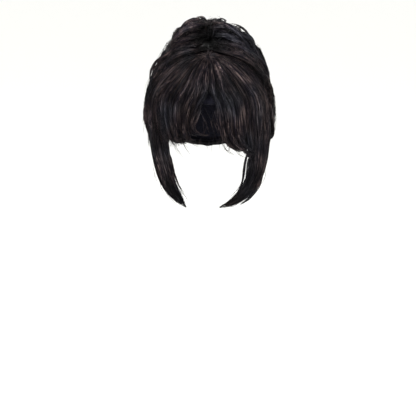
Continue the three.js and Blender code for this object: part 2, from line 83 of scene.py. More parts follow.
# The rise in degrees where the fringe parts and where the short hairs stand, and the share of the
# way down at which the fringe's locks start.
PART_RISE = 56
WHORL_RISE = 49
PART_GAP = 0.02

# The bun, as the solid has it: its locks spring from a hollow in its front. Turns, rises and the
# hollow's size are in degrees.
BUN_HALF_WIDTH = 64 * MM
BUN_HALF_DEPTH = 57 * MM
BUN_TOP = 36 * MM
BUN_DROP = 16 * MM
BUN_BACK = 13 * MM
BUN_LOCK_DEPTH = 7 * MM
BUN_FOOT_RISE = -62
BUN_FOOT_IN = 0.1
HOLLOW_DEPTH = 13 * MM
HOLLOW_TURN = 4
HOLLOW_RISE = 20
HOLLOW_HALF_WIDTH = 16
HOLLOW_HALF_HEIGHT = 26
BUN_CENTRE = np.array([0, BUN_BACK, -BUN_DROP])

# The hair's and the net's colours, linear.
HAIR_DARK = (0.0007, 0.0006, 0.0012)
HAIR_MIDDLE = (0.0038, 0.0029, 0.0040)
HAIR_WARM = (0.0335, 0.0245, 0.0232)
COOL_MIDDLE = (0.0033, 0.0034, 0.0047)
COOL_LIGHT = (0.0215, 0.0212, 0.0250)
NET_DARK = (0.0012, 0.0012, 0.0022)
NET_THREAD = (0.0065, 0.0065, 0.011)

# How far the streaks of one strand, and of one clump, stand from the next one's.
STRAND_STREAK = 0.56
CLUMP_STREAK = 2.08

# How light the bodies and the long locks are beside the rest. The bodies' darkness is a painted shade
# under the strands over them.
BODY_SHADE = 0.35
LOCK_SHADE = 0.65

# The cap's lower edge by the turn round from the face, as shares of the crown's height.
CAP_EDGE_TURN = [0, 36, 58, 72, 88, 112, 145, 180]
CAP_EDGE_DROP = [0.85, 0.86, 1.08, 1.2, 1.08, 1.16, 1.52, 1.6]

# The fringe's locks from the face's middle outwards: their turn over the head, at the cap's edge,
# half-way down and at the tip, the tip's drop, and how far the tip stands off.
FRINGE_RIGHT = [
    (8, 12.5, 16, 15, 1.3, 1.1),
    (22, 24, 24, 19, 1.41, 1.2),
    (35, 36, 33, 27, 1.43, 1.2),
    (46, 46, 42, 36, 1.46, 1.2),
    (56, 56, 53, 47, 1.5, 1.15),
    (67, 66, 64, 60, 1.52, 1.1),
    (78, 76, 75, 73, 1.48, 1),
]
FRINGE_LEFT = [
    (8, 13, 16, 17, 1.5, 1.1),
    (22, 25, 26, 28, 1.55, 1.2),
    (35, 35, 37, 40, 1.58, 1.2),
    (46, 46, 47, 50, 1.64, 1.15),
    (56, 56, 57, 60, 1.64, 1.1),
    (67, 66, 67, 69, 1.58, 1.05),
    (78, 76, 76, 77, 1.5, 1),
]

# Curls that hook away from the fringe: (turn, drop) from root to tip, width and how many strands.
CURLS_RIGHT = [
    ([(6, 0.72), (9.5, 0.9), (12, 1.05), (13.5, 1.17), (11, 1.265), (5, 1.31), (0, 1.31)], 13, 170),
    ([(10, 0.9), (14, 1.1), (16, 1.22), (14, 1.3), (9, 1.33)], 9, 70),
    ([(19, 0.95), (20.5, 1.1), (20.5, 1.24), (18, 1.34), (14.5, 1.38), (10, 1.39)], 11, 110),
    ([(30, 1.0), (30, 1.2), (27, 1.36), (22.5, 1.43), (18, 1.44)], 9, 70),
    ([(38, 1.05), (37, 1.25), (33, 1.42), (29, 1.48)], 8, 50),
    ([(48, 1.1), (46, 1.32), (42, 1.47), (38, 1.52)], 8, 50),
]
CURLS_LEFT = [
    ([(6.5, 0.75), (8.6, 0.95), (10, 1.15), (12, 1.34), (16, 1.47), (21, 1.53)], 9, 100),
    ([(12, 1.0), (15, 1.25), (19, 1.43), (25, 1.54), (32, 1.575)], 10, 110),
    ([(19, 0.95), (22, 1.14), (25.4, 1.37), (31, 1.54), (37, 1.66), (41, 1.77)], 13, 140),
    ([(30, 1.05), (33, 1.3), (38, 1.52), (43, 1.68), (46, 1.86)], 12, 120),
    ([(24, 1.1), (26, 1.32), (30, 1.5), (36, 1.6), (41, 1.64)], 8, 60),
]

# Thin single hairs that cross the forehead or stray below the fringe, as (turn, drop).
STRAYS = [
    [(-8, 0.86), (-6, 0.98), (-2, 1.12), (1, 1.28), (2, 1.42)],
    [(-4, 0.86), (0, 1.0), (3, 1.15), (4, 1.32), (3, 1.45)],
    [(6, 0.86), (4, 0.99), (5, 1.14), (8, 1.3), (11, 1.42)],
    [(7, 0.9), (3, 1.05), (2, 1.2), (5, 1.36), (7, 1.5)],
    [(-10, 0.95), (-5, 1.06), (-3, 1.2), (-5, 1.33), (-9, 1.44)],
    [(5, 0.88), (6, 1.05), (9, 1.22), (9, 1.4), (6, 1.52)],
    [(-26, 1.3), (-22, 1.45), (-17, 1.56), (-13, 1.66)],
    [(-32, 1.35), (-29, 1.5), (-24, 1.62), (-19, 1.7)],
    [(-18, 1.3), (-14, 1.4), (-8, 1.47), (-4, 1.5)],
    [(10, 1.35), (13, 1.5), (18, 1.6), (24, 1.64)],
    [(20, 1.45), (24, 1.58), (30, 1.66), (36, 1.68)],
    [(28, 1.5), (33, 1.62), (39, 1.7), (43, 1.8)],
]

# The long locks, root to tip: down, out, front, width and thickness as shares.
LOCK_RIGHT = [
    (0, 0.925, 0.47, 0.72, 0.6),
    (0.17, 0.943, 0.54, 0.82, 0.8),
    (0.35, 0.9, 0.63, 0.87, 1),
    (0.52, 0.852, 0.675, 0.82, 1),
    (0.7, 0.778, 0.73, 0.71, 0.95),
    (0.84, 0.655, 0.79, 0.56, 0.8),
    (0.95, 0.49, 0.85, 0.3, 0.5),
    (1, 0.41, 0.88, 0.06, 0.12),
]
LOCK_LEFT = [
    (0, 0.94, 0.47, 0.75, 0.6),
    (0.17, 0.965, 0.54, 0.93, 0.8),
    (0.35, 0.93, 0.61, 0.97, 1),
    (0.52, 0.91, 0.65, 0.88, 1),
    (0.68, 0.85, 0.7, 0.74, 1),
    (0.84, 0.68, 0.77, 0.6, 0.85),
    (0.95, 0.43, 0.84, 0.36, 0.5),
    (1, 0.2, 0.88, 0.06, 0.12),
]

# The bun's locks, from straight below the hollow round towards the wearer's left ear and over the
# top: how wide each is beside the others, and how far it stands out as a share of their depth.
BUN_LOCKS = [
    (0.8, 0.7), (1.1, 0.9), (0.9, 1), (1.2, 0.9), (1, 1), (1, 0.8),
    (1.1, 0.9), (1.2, 1), (0.9, 0.8), (1.2, 1), (0.9, 0.9), (0.7, 0.7),
]

# The loops that stand off the bun: turn and rise where they leave it and come back, and height.
LOOPS = [
    (296, 18, 334, 56, 6.5 * MM),
    (316, 36, 364, 66, 6.5 * MM),
    (6, 56, 60, 42, 6.5 * MM),
    (50, 46, 86, 0, 8 * MM),
]

# Locks laid over the hair where the front view shows them. Each is a path of (x, height) as the
# camera sees it, in mm, then its width, how far it stands off, its strands and how light it is.
SWEPT_SPRAYS = [
    ([(-68, -17), (-76, -26), (-81.5, -36), (-83.5, -45.5), (-83.5, -53)], 5, 5, 60, 1.93),
    ([(-7, 4.2), (-25.5, 1.4), (-43.8, -5.8), (-60.1, -15.8), (-72.2, -27.2),
      (-79.4, -37.2), (-80.8, -45.8)], 11, 4.5, 128, 2.11),
    ([(-10.7, -8.7), (-25.5, -10.1), (-43.8, -15.8), (-59.3, -25.1), (-70.8, -35.1),
      (-77.2, -44.4), (-75.8, -50.1)], 11, 4, 120, 1.58),
    ([(-16.4, -0.1), (-35, -2.9), (-53.6, -10.8), (-69.4, -21.5), (-80.1, -33),
      (-82.9, -41.5)], 4, 7, 36, 2.63),
    ([(3.6, 4.2), (25, 0.6), (45, -5.1), (62.2, -12.9), (76.5, -23.7), (84.4, -34.4),
      (86.2, -45.8), (83.7, -55.8)], 12, 4.5, 136, 1.56),
    ([(5, -7.9), (25, -11.5), (45, -17.2), (59.3, -25.8), (70.8, -36.5), (77.9, -48.7),
      (80.1, -61.6)], 12, 4, 128, 1.17),
    ([(19.3, -0.8), (39.3, -5.1), (56.5, -12.9), (70.8, -23.7), (81.5, -35.8),
      (83.7, -47.3)], 4, 7, 36, 1.95),
    ([(53.6, -21.5), (67.9, -31.5), (77.9, -44.4), (82.2, -58.7), (85.8, -71.6)], 8, 3, 64, 1.04),
    ([(85.1, -75.9), (89.4, -93), (91.2, -108.8), (92.7, -121.6), (91.8, -130.2),
      (86.5, -135.2), (80.8, -136.6)], 7, 2, 88, 1.3),
    ([(79.4, -90.2), (84.4, -107.3), (87.2, -121.6), (85.1, -131.6), (78.6, -138.1)], 7, 4, 64, 1.43),
    ([(-85.1, -75.9), (-89.7, -90.2), (-90.4, -104.5), (-87.5, -117.3), (-83.7, -127.3),
      (-77.9, -134.5), (-71.5, -135.9)], 7, 2, 88, 1.76),
    ([(-80.8, -93), (-82.9, -108.8), (-80.8, -121.6), (-75.8, -130.9),
      (-68.6, -136.6)], 7, 4, 64, 1.93),
]

# The same over the bun, the fringe and the long locks.
BUN_SPRAYS = [
    ([(-5, 27.8), (-19.3, 26.4), (-35, 20), (-46.5, 9.9), (-55.1, -1.5)], 8, 4, 108, 2.91),
    ([(-3.6, 20), (-17.9, 17.8), (-33.6, 12.1), (-45, 3.5), (-55.1, -7.2)], 8, 5, 108, 2.03),
    ([(-5, 12.1), (-19.3, 10.7), (-33.6, 6.4), (-46.5, -1.5), (-59.3, -12.2)], 7, 5, 99, 2.79),
    ([(-6.4, 33.5), (-20.7, 35), (-32.2, 29.2), (-39.3, 20), (-45, 11.4)], 6, 2.5, 63, 2.47),
    ([(5, 30.7), (19.3, 29.2), (33.6, 22.8), (45, 12.8), (53.6, 2.1), (59.3, -7.2)], 7, 4, 108, 2.4),
    ([(5, 22.1), (20.7, 19.2), (35, 12.1), (46.5, 2.8), (57.9, -7.9)], 8, 5, 117, 2.23),
    ([(6.4, 12.1), (23.6, 10.7), (39.3, 4.9), (53.6, -3.6), (69.4, -14.4)], 8, 5, 108, 1.71),
    ([(29.3, 30), (42.2, 27.1), (53.6, 19.2), (61.5, 7.1), (65.5, -5.1),
      (66.5, -12.9)], 2, 3, 20, 2.06),
    ([(39.3, 27.1), (50, 21.4), (57.9, 12.1), (62.2, 2.8), (64.3, -7.2)], 1.6, 4, 13, 2.06),
    ([(7.9, 28.5), (12.2, 34.2), (18.6, 36.8), (24.3, 33.5), (22.2, 27.8)], 2, 3, 14, 2.06),
    ([(-27.9, 17.1), (-30, 22.8), (-26.5, 27.8), (-20.7, 27.1), (-19.3, 21.4)], 2, 5, 16, 2.91),
    ([(-0.7, 32.1), (-5.7, 36.4), (-12.9, 38.3), (-19.3, 36.4)], 2, 2, 13, 2.47),
]

FRINGE_SPRAYS = [
    ([(-1.4, -23), (-2.9, -38.7), (-3.6, -55.8), (-5.7, -71.6), (-10.7, -87.3),
      (-14.3, -101.6)], 4, 2, 60, 1.1),
    ([(-4.3, -21.5), (-8.6, -35.8), (-13.6, -53), (-17.9, -71.6), (-20.7, -90.2)], 5, 2.5, 60, 1.3),
    ([(0.7, -25.8), (0.4, -41.5), (-0.3, -55.8), (-2.4, -67.3)], 2.5, 2, 24, 1.2),
    ([(2.9, -23), (5, -38.7), (6.1, -55.8), (8.6, -71.6), (12.9, -87.3),
      (16.4, -103)], 4, 2, 60, 1.1),
    ([(5, -21.5), (10.7, -34.4), (16.4, -51.5), (20.7, -70.1), (23.6, -90.2)], 5, 2.5, 60, 1.3),
    ([(19.3, -101.6), (20.4, -115.9), (22.9, -131.6), (27.9, -143.1), (36.5, -150.2),
      (46.5, -153.8)], 4, 2, 60, 0.9),
    ([(27.9, -110.2), (30, -124.5), (35, -137.3), (43.6, -147.4), (53.6, -153.1),
      (62.2, -157.4)], 5, 2, 70, 1),
    ([(39.3, -118.8), (43.6, -131.6), (50.8, -143.1), (59.3, -150.9),
      (69.4, -158.8)], 5, 2, 60, 1.15),
    ([(-46.5, -115.9), (-46.5, -127.3), (-43.6, -137.3), (-37.2, -143.8)], 4, 2, 44, 1.1),
    ([(-35, -113), (-34.3, -125.9), (-30.7, -136.6), (-23.6, -139.5)], 4, 2, 44, 1.1),
    # A thin lock painted much lighter along the curl: a painted highlight.
    ([(28.5, -121.9), (33.3, -134.3), (40.9, -145.9), (52.5, -153.5)], 1.5, 3, 16, 3.2),
    ([(4.6, -19.5), (10.3, -27.1), (18, -38.7), (21.7, -50.1)], 1.2, 3, 10, 2.6),
    ([(40.9, -38.7), (60, -57.8), (75.4, -80.7)], 3, 3.5, 30, 1.3),
    ([(-49, -50.1), (-68.2, -65.4), (-75.9, -80.7)], 3, 3.5, 30, 1.7),
]

LONG_LOCK_SPRAYS = [
    ([(72.2, -130.2), (62.2, -143.8), (54.8, -157.4), (51.6, -171.7), (49.9, -186),
      (46.2, -201), (37.9, -216.7), (27.9, -227.4)], 2, 0.5, 50, 1),
    ([(75.1, -135.9), (64.3, -148.8), (57.3, -162.4), (54.5, -176), (53.1, -190.3),
      (47.9, -204.6)], 1, 0.5, 20, 1),
    ([(78, -180), (72, -198), (63, -213), (53, -223), (44, -228.5)], 6, 3, 90, 1),
    ([(-63.6, -150.2), (-56.8, -171.7), (-52.2, -187.4), (-45.8, -203.1), (-37.9, -217.4),
      (-32.9, -229.6)], 3, 1, 70, 1),
    ([(-62.2, -144.5), (-53.6, -161.7), (-49.6, -181.7), (-42.2, -201),
      (-33.9, -213.9)], 1.6, 0.5, 30, 1),
]

# The form of a strand or wisp: half width and half thickness in mm, sides, and its width at the root
# and the tip as shares.
HAIR = (0.32, 0.28, 3, 0.5, 0.12)
NAPE_HAIR = (0.3, 0.26, 3, 0.6, 0.1)
LOOSE_HAIR = (0.2, 0.18, 3, 0.8, 0.3)
FRINGE_WISP = (1.4, 0.6, 4, 0.4, 0.08)
SWEPT_WISP = (1.5, 0.6, 4, 0.35, 0.12)
BUN_WISP = (1.7, 0.6, 4, 0.3, 0.15)
LOCK_WISP = (1.4, 0.5, 4, 0.4, 0.08)
SPRAY_HAIR = (0.42, 0.3, 3, 0.6, 0.15)
SHORT_HAIR = (0.36, 0.28, 3, 0.8, 0.1)

# The layers over each mass, from below: strands, clumps and steps, the range of the roots and of the
# tips from root 0 to tip 1, the range of heights in mm, how far a clump draws together, how far clumps
# and then strands drift, the strands' form and how light they are.
FRINGE_LAYERS = [
    (300, 70, 11, (0.05, 0.2, 0.84, 1.0), (0.8, 4.6), 0.5, 0.006, 0.004, FRINGE_WISP, 0.85),
    (850, 34, 9, (0.06, 0.3, 0.8, 1.04), (0.8, 5), 0.6, 0.008, 0.006, HAIR, 1),
    (650, 90, 9, (0.06, 0.3, 0.8, 1.04), (0.8, 5.5), 0.6, 0.008, 0.006, HAIR, 1),
]
SWEPT_LAYERS = [
    (380, 120, 10, (0.02, 0.3, 0.8, 0.99), (-0.2, 3.4), 0.35, 0.004, 0.002, SWEPT_WISP, 0.85),
    (900, 70, 8, (0.02, 0.35, 0.8, 1.0), (-0.2, 3.6), 0.5, 0.005, 0.003, HAIR, 1),
    (600, 170, 8, (0.02, 0.35, 0.8, 1.0), (-0.2, 4.2), 0.5, 0.005, 0.003, HAIR, 1),
    (300, 90, 6, (0.7, 0.92, 0.97, 1.07), (-1.5, 2), 0.3, 0.004, 0.004, NAPE_HAIR, 1),
]
BUN_LAYERS = [
    (380, 110, 11, (0, 0.12, 0.6, 1), (-0.5, 3), 0.3, 0.01, 0.006, BUN_WISP, 0.85),
    (800, 60, 9, (0, 0.25, 0.5, 1), (0, 3.5), 0.4, 0.014, 0.01, HAIR, 1),
    (650, 160, 9, (0, 0.25, 0.5, 1), (0, 5), 0.4, 0.014, 0.01, HAIR, 1),
]
LOCK_LAYERS = [
    (110, 26, 13, (0, 0.1, 0.7, 1), (-1.4, 0.8), 0.3, 0.02, 0.02, LOCK_WISP, 0.85),
    (700, 50, 10, (0, 0.15, 0.65, 1), (-1.4, 1.4), 0.3, 0.03, 0.025, HAIR, 1),
]

# Painted shade where little light would get in, seen from the front, such as the bun's hollow and the
# gaps under the locks: x, height, half width and half height in mm, and how much of the colour is
# darkened.
PAINTED_HOLLOW_SHADE = [
    (0.7, -7.2, 24, 7, 0.85),
    (0, 6, 22, 15, 0.98),
    (-10, 19, 13, 7, 0.8),
    (-8, 9, 26, 6, 0.9),
    (4, -3, 18, 9, 0.85),
    (0, 29, 12, 10, 0.75),
    (-35, -17, 13, 7, 0.75),
    (-48, -26, 9, 7, 0.7),
    (29, -21, 12, 7, 0.65),
    (48, -29, 13, 8, 0.75),
    (67, -39, 13, 12, 0.75),
    (78, -62, 7, 13, 0.55),
    (2, -30, 3.5, 14, 0.6),
]

# The lamps: name, place, size and power. All look at one place.
LAMPS = [
    ("key", (-1.0, -1.6, 1.2), (0.9, 0.9), 75),
    ("fill", (1.4, -1.4, 0.7), (0.9, 0.9), 42),
    ("top", (0, 0.3, 1.6), (1.0, 0.6), 36),
]
LAMPS_AIM = (0, 0, -0.1)


def smooth(share):
    share = np.clip(share, 0, 1)
    return share * share * (3 - 2 * share)


def ramp(at, low, high):
    """0 below low, 1 above high, gently between."""
    return smooth((at - low) / (high - low))


def together(*values):
    """Values side by side along a last axis, each spread to the same shape."""
    return np.stack(np.broadcast_arrays(*values), -1)


def draws(count, low, high):
    """A random number for each strand, in a column."""
    return random.uniform(low, high, (count, 1))


def toward(turn, rise):
    """Directions by their turn round from the face and their rise, in degrees."""
    turn, rise = np.radians(turn), np.radians(rise)
    flat = np.cos(rise)
    return together(flat * np.sin(turn), -flat * np.cos(turn), np.sin(rise))


def skin(direction, lift):
    """Points over the head form in those directions, lifted off it."""
    wide = HEAD_HALF_WIDTH + lift
    deep = np.where(direction[..., 1] < 0, HEAD_FRONT, HEAD_BACK) + lift
    tall = np.where(direction[..., 2] > 0, CROWN, LOWER_DEPTH) + lift
    x, y, z = direction[..., 0], direction[..., 1], direction[..., 2]
    reach = 1 / np.sqrt((x / wide) ** 2 + (y / deep) ** 2 + (z / tall) ** 2)
    return direction * reach[..., None] + HEAD_CENTRE


def hang(turn, height, lift):
    """Points at a turn and height: on the head form above its widest level, straight down below."""
    level = skin(toward(turn, 0), lift) - HEAD_CENTRE
    above = np.clip((height + CROWN) / (CROWN + lift), 0, 1)
    level = level * np.sqrt(1 - above**2)[..., None]
    return together(level[..., 0], level[..., 1], height)


def unit(vectors):
    return vectors / np.maximum(np.linalg.norm(vectors, axis=-1, keepdims=True), 1e-9)


def square_to(along, outward):
    """Outward directions turned square to a line's own."""
    return unit(outward - (outward * along).sum(1, keepdims=True) * along)


def arc(a, b, share):
    """Directions part of the way along the great arcs from a to b."""
    angle = np.arccos(np.clip((a * b).sum(-1, keepdims=True), -1, 1))
    share = np.broadcast_to(share, angle.shape[:-1])[..., None]
    return (np.sin((1 - share) * angle) * a + np.sin(share * angle) * b) / np.sin(angle)


def spline(points, count):
    """Smooth curves through points (n, k, 3), as count evenly spaced points each."""
    ends = np.concatenate(
        [2 * points[:, :1] - points[:, 1:2], points, 2 * points[:, -1:] - points[:, -2:-1]], 1
    )
    fine = 12
    pieces = []
    for i in range(points.shape[1] - 1):
        p0, p1, p2, p3 = (ends[:, i + k, None] for k in range(4))
        t = np.linspace(0, 1, fine, endpoint=False)[None, :, None]
        bend = 2 * p1 + (p2 - p0) * t + (2 * p0 - 5 * p1 + 4 * p2 - p3) * t**2
        pieces.append(0.5 * (bend + (3 * p1 - p0 - 3 * p2 + p3) * t**3))
    curve = np.concatenate(pieces + [points[:, -1:]], 1)
    steps = np.linalg.norm(np.diff(curve, axis=1), axis=2)
    run = np.concatenate([np.zeros((len(curve), 1)), np.cumsum(steps, 1)], 1)
    run /= run[:, -1:]
    at = np.linspace(0, 1, count)
    return np.stack(
        [np.stack([np.interp(at, r, c[:, axis]) for axis in range(3)], 1) for r, c in zip(run, curve)]
    )


def hair_tree(*names):
    """Some of the hair's solids, to find places on."""
    points, polygons = [], []
    for name in names:
        first = len(points)
        points += [vertex.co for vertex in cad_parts[name].data.vertices]
        polygons += [[first + k for k in one.vertices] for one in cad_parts[name].data.polygons]
    return BVHTree.FromPolygons(points, polygons)


def seen(places, lift, tree):
    """Points on the hair where the front view shows (x, height) in mm, lifted towards the camera."""
    points, depths, depth = [], [], None
    for x, height in places:
        flat = np.array([x * MM, 0, 0]) + SIGHT_UP * height * MM
        start = Vector(flat + SIGHT_BACK * SIGHT_REACH)
        hit = tree.ray_cast(start, Vector(-SIGHT_BACK), 2 * SIGHT_REACH)[0]
        if hit is None or (depth and np.dot(hit, SIGHT_BACK) < depth - DEPTH_STEP):
            hit = tree.find_nearest(Vector(flat + SIGHT_BACK * (depth or 0)))[0]
        depth = np.dot(hit, SIGHT_BACK)
        points.append(flat)
        depths.append(depth + lift)
    depths = np.convolve(np.pad(depths, 1, "edge"), (0.25, 0.5, 0.25), "valid")
    return np.array(points) + SIGHT_BACK * depths[:, None]


def tone_and_painted_shade(points):
    """How light the hair is by place: broad soft patches, and painted shade in the hollows."""
    waves = np.sin(points @ PATCH_WAVES.T + PATCH_PHASES).sum(-1)
    light = 1 + 0.4 * waves / math.sqrt(len(PATCH_WAVES))
    across, height = points[..., 0] / MM, points @ SIGHT_UP / MM
    front = 1 - ramp(points[..., 1], -10 * MM, 20 * MM)
    for x, level, wide, tall, share in PAINTED_HOLLOW_SHADE:
        away = ((across - x) / wide) ** 2 + ((height - level) / tall) ** 2
        light = light * (1 - share * front * np.exp(-away))
    return light


class Surface:
    """A grid of points over a mass of hair, roots at v 0 and tips at v 1, with normals outward."""

    def __init__(self, points, middle, streaks, length, around=False, light=1.0):
        self.points, self.around, self.streaks, self.length = points, around, streaks, length
        self.light = light
        if around:
            wrapped = np.concatenate([points[-1:], points, points[:1]], 0)
            across = (wrapped[2:] - wrapped[:-2]) / 2
        else:
            across = np.gradient(points, axis=0)
        self.normals = unit(np.cross(across, np.gradient(points, axis=1)))
        facing = (self.normals * (points - middle)).sum(-1, keepdims=True)
        self.normals *= np.where(facing < 0, -1, 1)

    def read(self, grid, u, v):
        """Values between the grid's points. Beyond an open sheet's sides they run on straight."""
        across, along = grid.shape[:2]
        x = u * across if self.around else np.clip(u, -0.06, 1.06) * (across - 1)
        y = np.clip(v, 0, 1.05) * (along - 1)
        i, j = np.floor(x).astype(int), np.minimum(np.floor(y).astype(int), along - 2)
        if not self.around:
            i = np.clip(i, 0, across - 2)
        fx, fy = (x - i)[..., None], (y - j)[..., None]
        i0, i1 = i % across, (i + 1) % across
        near = grid[i0, j] * (1 - fy) + grid[i0, j + 1] * fy
        far = grid[i1, j] * (1 - fy) + grid[i1, j + 1] * fy
        return near * (1 - fx) + far * fx

    def at(self, u, v, height):
        """Points at a height over the surface, and the directions outward there."""
        normals = unit(self.read(self.normals, u, v))
        return self.read(self.points, u, v) + normals * np.asarray(height)[..., None], normals


def wander(rows, count, amount):
    """Smooth random drifts, one row each, from 0 at the root."""
    bends = 4
    knots = random.normal(0, amount, (rows, bends))
    knots[:, 0] = 0
    at = np.linspace(0, bends - 1, count)
    low = np.minimum(at.astype(int), bends - 2)
    share = smooth(at - low)
    return knots[:, low] * (1 - share) + knots[:, low + 1] * share


def corner_map(group, place):
    """Texture coordinates for faces' corners, from points' places (u, v, cell u, cell v, sizes).

    A point without a u takes its face's middle. A face from one layer to another keeps to the upper."""
    at = place[group]
    u, v = at[..., 0], at[..., 1]
    u = u + (np.nanmax(u, 1, keepdims=True) - u > 0.5)
    u = np.where(np.isnan(u), np.nanmean(u, 1, keepdims=True), u)
    cell_v = at[..., 3].max(1, keepdims=True)
    return np.stack([at[..., 2] + u * at[..., 4], cell_v + v * at[..., 5]], -1).reshape(-1, 2)


def place_object(name, data):
    """A new object in the scene."""
    made = bpy.data.objects.new(name, data)
    bpy.context.scene.collection.objects.link(made)
    return made


def mesh_object(name, points, faces, flow, place):
    """A smooth mesh, with the hair's flow on its points and a texture map for its corners."""
    mesh = bpy.data.meshes.new(name)
    faces = [np.asarray(group, dtype=np.int32) for group in faces if len(group)]
    loops = np.concatenate([group.ravel() for group in faces])
    sizes = np.concatenate([np.full(len(group), group.shape[1], np.int32) for group in faces])
    starts = np.concatenate([[0], np.cumsum(sizes)[:-1]]).astype(np.int32)
    mesh.vertices.add(len(points))
    mesh.vertices.foreach_set("co", np.asarray(points, np.float32).ravel())
    mesh.loops.add(len(loops))
    mesh.loops.foreach_set("vertex_index", loops)
    mesh.polygons.add(len(sizes))
    mesh.polygons.foreach_set("loop_start", starts)
    mesh.polygons.foreach_set("use_smooth", np.ones(len(sizes), bool))
    mesh.update(calc_edges=True)
    flow = np.asarray(flow, np.float32)
    for layer, kind, key, values in (
        ("flow", "FLOAT_VECTOR", "vector", flow[:, :3]),
        ("shade", "FLOAT", "value", flow[:, 3]),
    ):
        mesh.attributes.new(layer, kind, "POINT").data.foreach_set(key, values.ravel())
    corners = np.concatenate([corner_map(group, place) for group in faces])
    mesh.uv_layers.new(name="OFBake").uv.foreach_set("vector", corners.astype(np.float32).ravel())
    return place_object(name, mesh)


def tubes(paths, outward, wide, deep, sides):
    """Closed tapering tubes along paths (n, m, 3): points (n, m, sides, 3) and their faces."""
    count, steps = paths.shape[:2]
    along = unit(np.gradient(paths, axis=1))
    across = unit(np.cross(along, outward))
    out = np.cross(across, along)
    angle = np.arange(sides) / sides * 2 * math.pi
    ring = across[:, :, None] * (wide[..., None] * np.cos(angle))[..., None]
    ring = ring + out[:, :, None] * (deep[..., None] * np.sin(angle))[..., None]
    points = paths[:, :, None] + ring
    at = np.arange(count * steps * sides).reshape(count, steps, sides)
    near, far = at[:, :-1], at[:, 1:]
    quads = np.stack([near, np.roll(near, -1, 2), np.roll(far, -1, 2), far], -1).reshape(-1, 4)
    root, tip = at[:, 0, ::-1], at[:, -1]
    return points, [quads, root.reshape(-1, sides), tip.reshape(-1, sides)]


def flow_of(surface, u, v, jitter, shade):
    """Coordinates that barely change along a strand, for streaks, with no seam, and the shade."""
    if surface.around:
        turn = 2 * math.pi * u
        first, second = np.cos(turn) * surface.streaks, np.sin(turn) * surface.streaks
    else:
        first, second = u * surface.streaks, np.zeros_like(u)
    return together(first + jitter, second + jitter, v * surface.length, shade)


def clumped(surface, count, clumps, steps, v_range, height, pinch, waves, frizz, span):
    """Strand courses in rounded clumps that draw together to their tips: u, v, height, clump."""
    wide = span[1] - span[0]
    centres = span[0] + wide * (np.arange(clumps) + random.uniform(0.1, 0.9, clumps)) / clumps
    start = random.uniform(*span, count)
    away = start[:, None] - centres[None]
    if surface.around:
        away = (away + 0.5) % 1 - 0.5
    clump = np.abs(away).argmin(1)
    offset = away[np.arange(count), clump][:, None]
    first = random.uniform(v_range[0], v_range[1], count)[:, None]
    ends = random.uniform(v_range[2], v_range[3], clumps)[clump]
    last = ends + random.normal(0, 0.3 * (v_range[3] - v_range[2]), count)
    last = np.minimum(last, v_range[3])[:, None]
    v = first + (last - first) * np.linspace(0, 1, steps)
    drift = wander(clumps, steps, waves)[clump] + wander(count, steps, frizz)
    u = centres[clump][:, None] + offset * (1 - pinch * ramp(v, 0.35, 1)) + drift
    bulge = 1 - np.clip(np.abs(offset) * 1.6 * clumps / wide, 0, 1) ** 2
    crown = random.uniform(0.25, 1, clumps)[clump][:, None]
    level = bulge * crown * random.uniform(0.4, 1, count)[:, None]
    low, high = height[0] * MM, height[1] * MM
    return u, v, np.broadcast_to(low + (high - low) * level, u.shape), clump


def taper(share, root, tip):
    """Widths along a strand, thinner at its root and drawn out at its tip."""
    body = root + (1 - root) * ramp(share, 0, 0.25)
    return body * (tip + (1 - tip) * (1 - ramp(share, 0.45, 1)))


def formed(paths, outward, form, sizes, flow):
    """A set of strands of one form, each of its own size."""
    wide, deep, sides, root, tip = form
    size = sizes * taper(np.linspace(0, 1, paths.shape[1]), root, tip)
    return paths, outward, wide * MM * size, deep * MM * size, sides, flow


def laid(surface, course, form, light=1.0):
    """Strands or wisps on a surface, from their courses."""
    u, v, height, clump = course
    paths, outward = surface.at(u, v, height)
    count, clumps = len(u), clump.max() + 1
    sizes = draws(count, 0.6, 1.4)
    own = random.normal(0, STRAND_STREAK, (count, 1))
    own = own + random.normal(0, CLUMP_STREAK, (clumps, 1))[clump]
    # Lower strands are painted darker and higher ones lighter, a painted shade between the clumps.
    # Clumps and strands also vary at random, and the hollows get their painted shade.
    level = (height - height.min()) / max(np.ptp(height), 1e-6)
    light = light * surface.light * (0.45 + 0.95 * level) * draws(clumps, 0.6, 1.6)[clump]
    light = light * draws(count, 0.7, 1.5) * tone_and_painted_shade(paths)
    return formed(paths, outward, form, sizes, flow_of(surface, u, v, own, light))


def coats(surface, layers, span=(0, 1)):
    """The layers over a mass of hair, within its span."""
    sets = []
    for *course, form, light in layers:
        sets.append(laid(surface, clumped(surface, *course, span), form, light))
    return sets


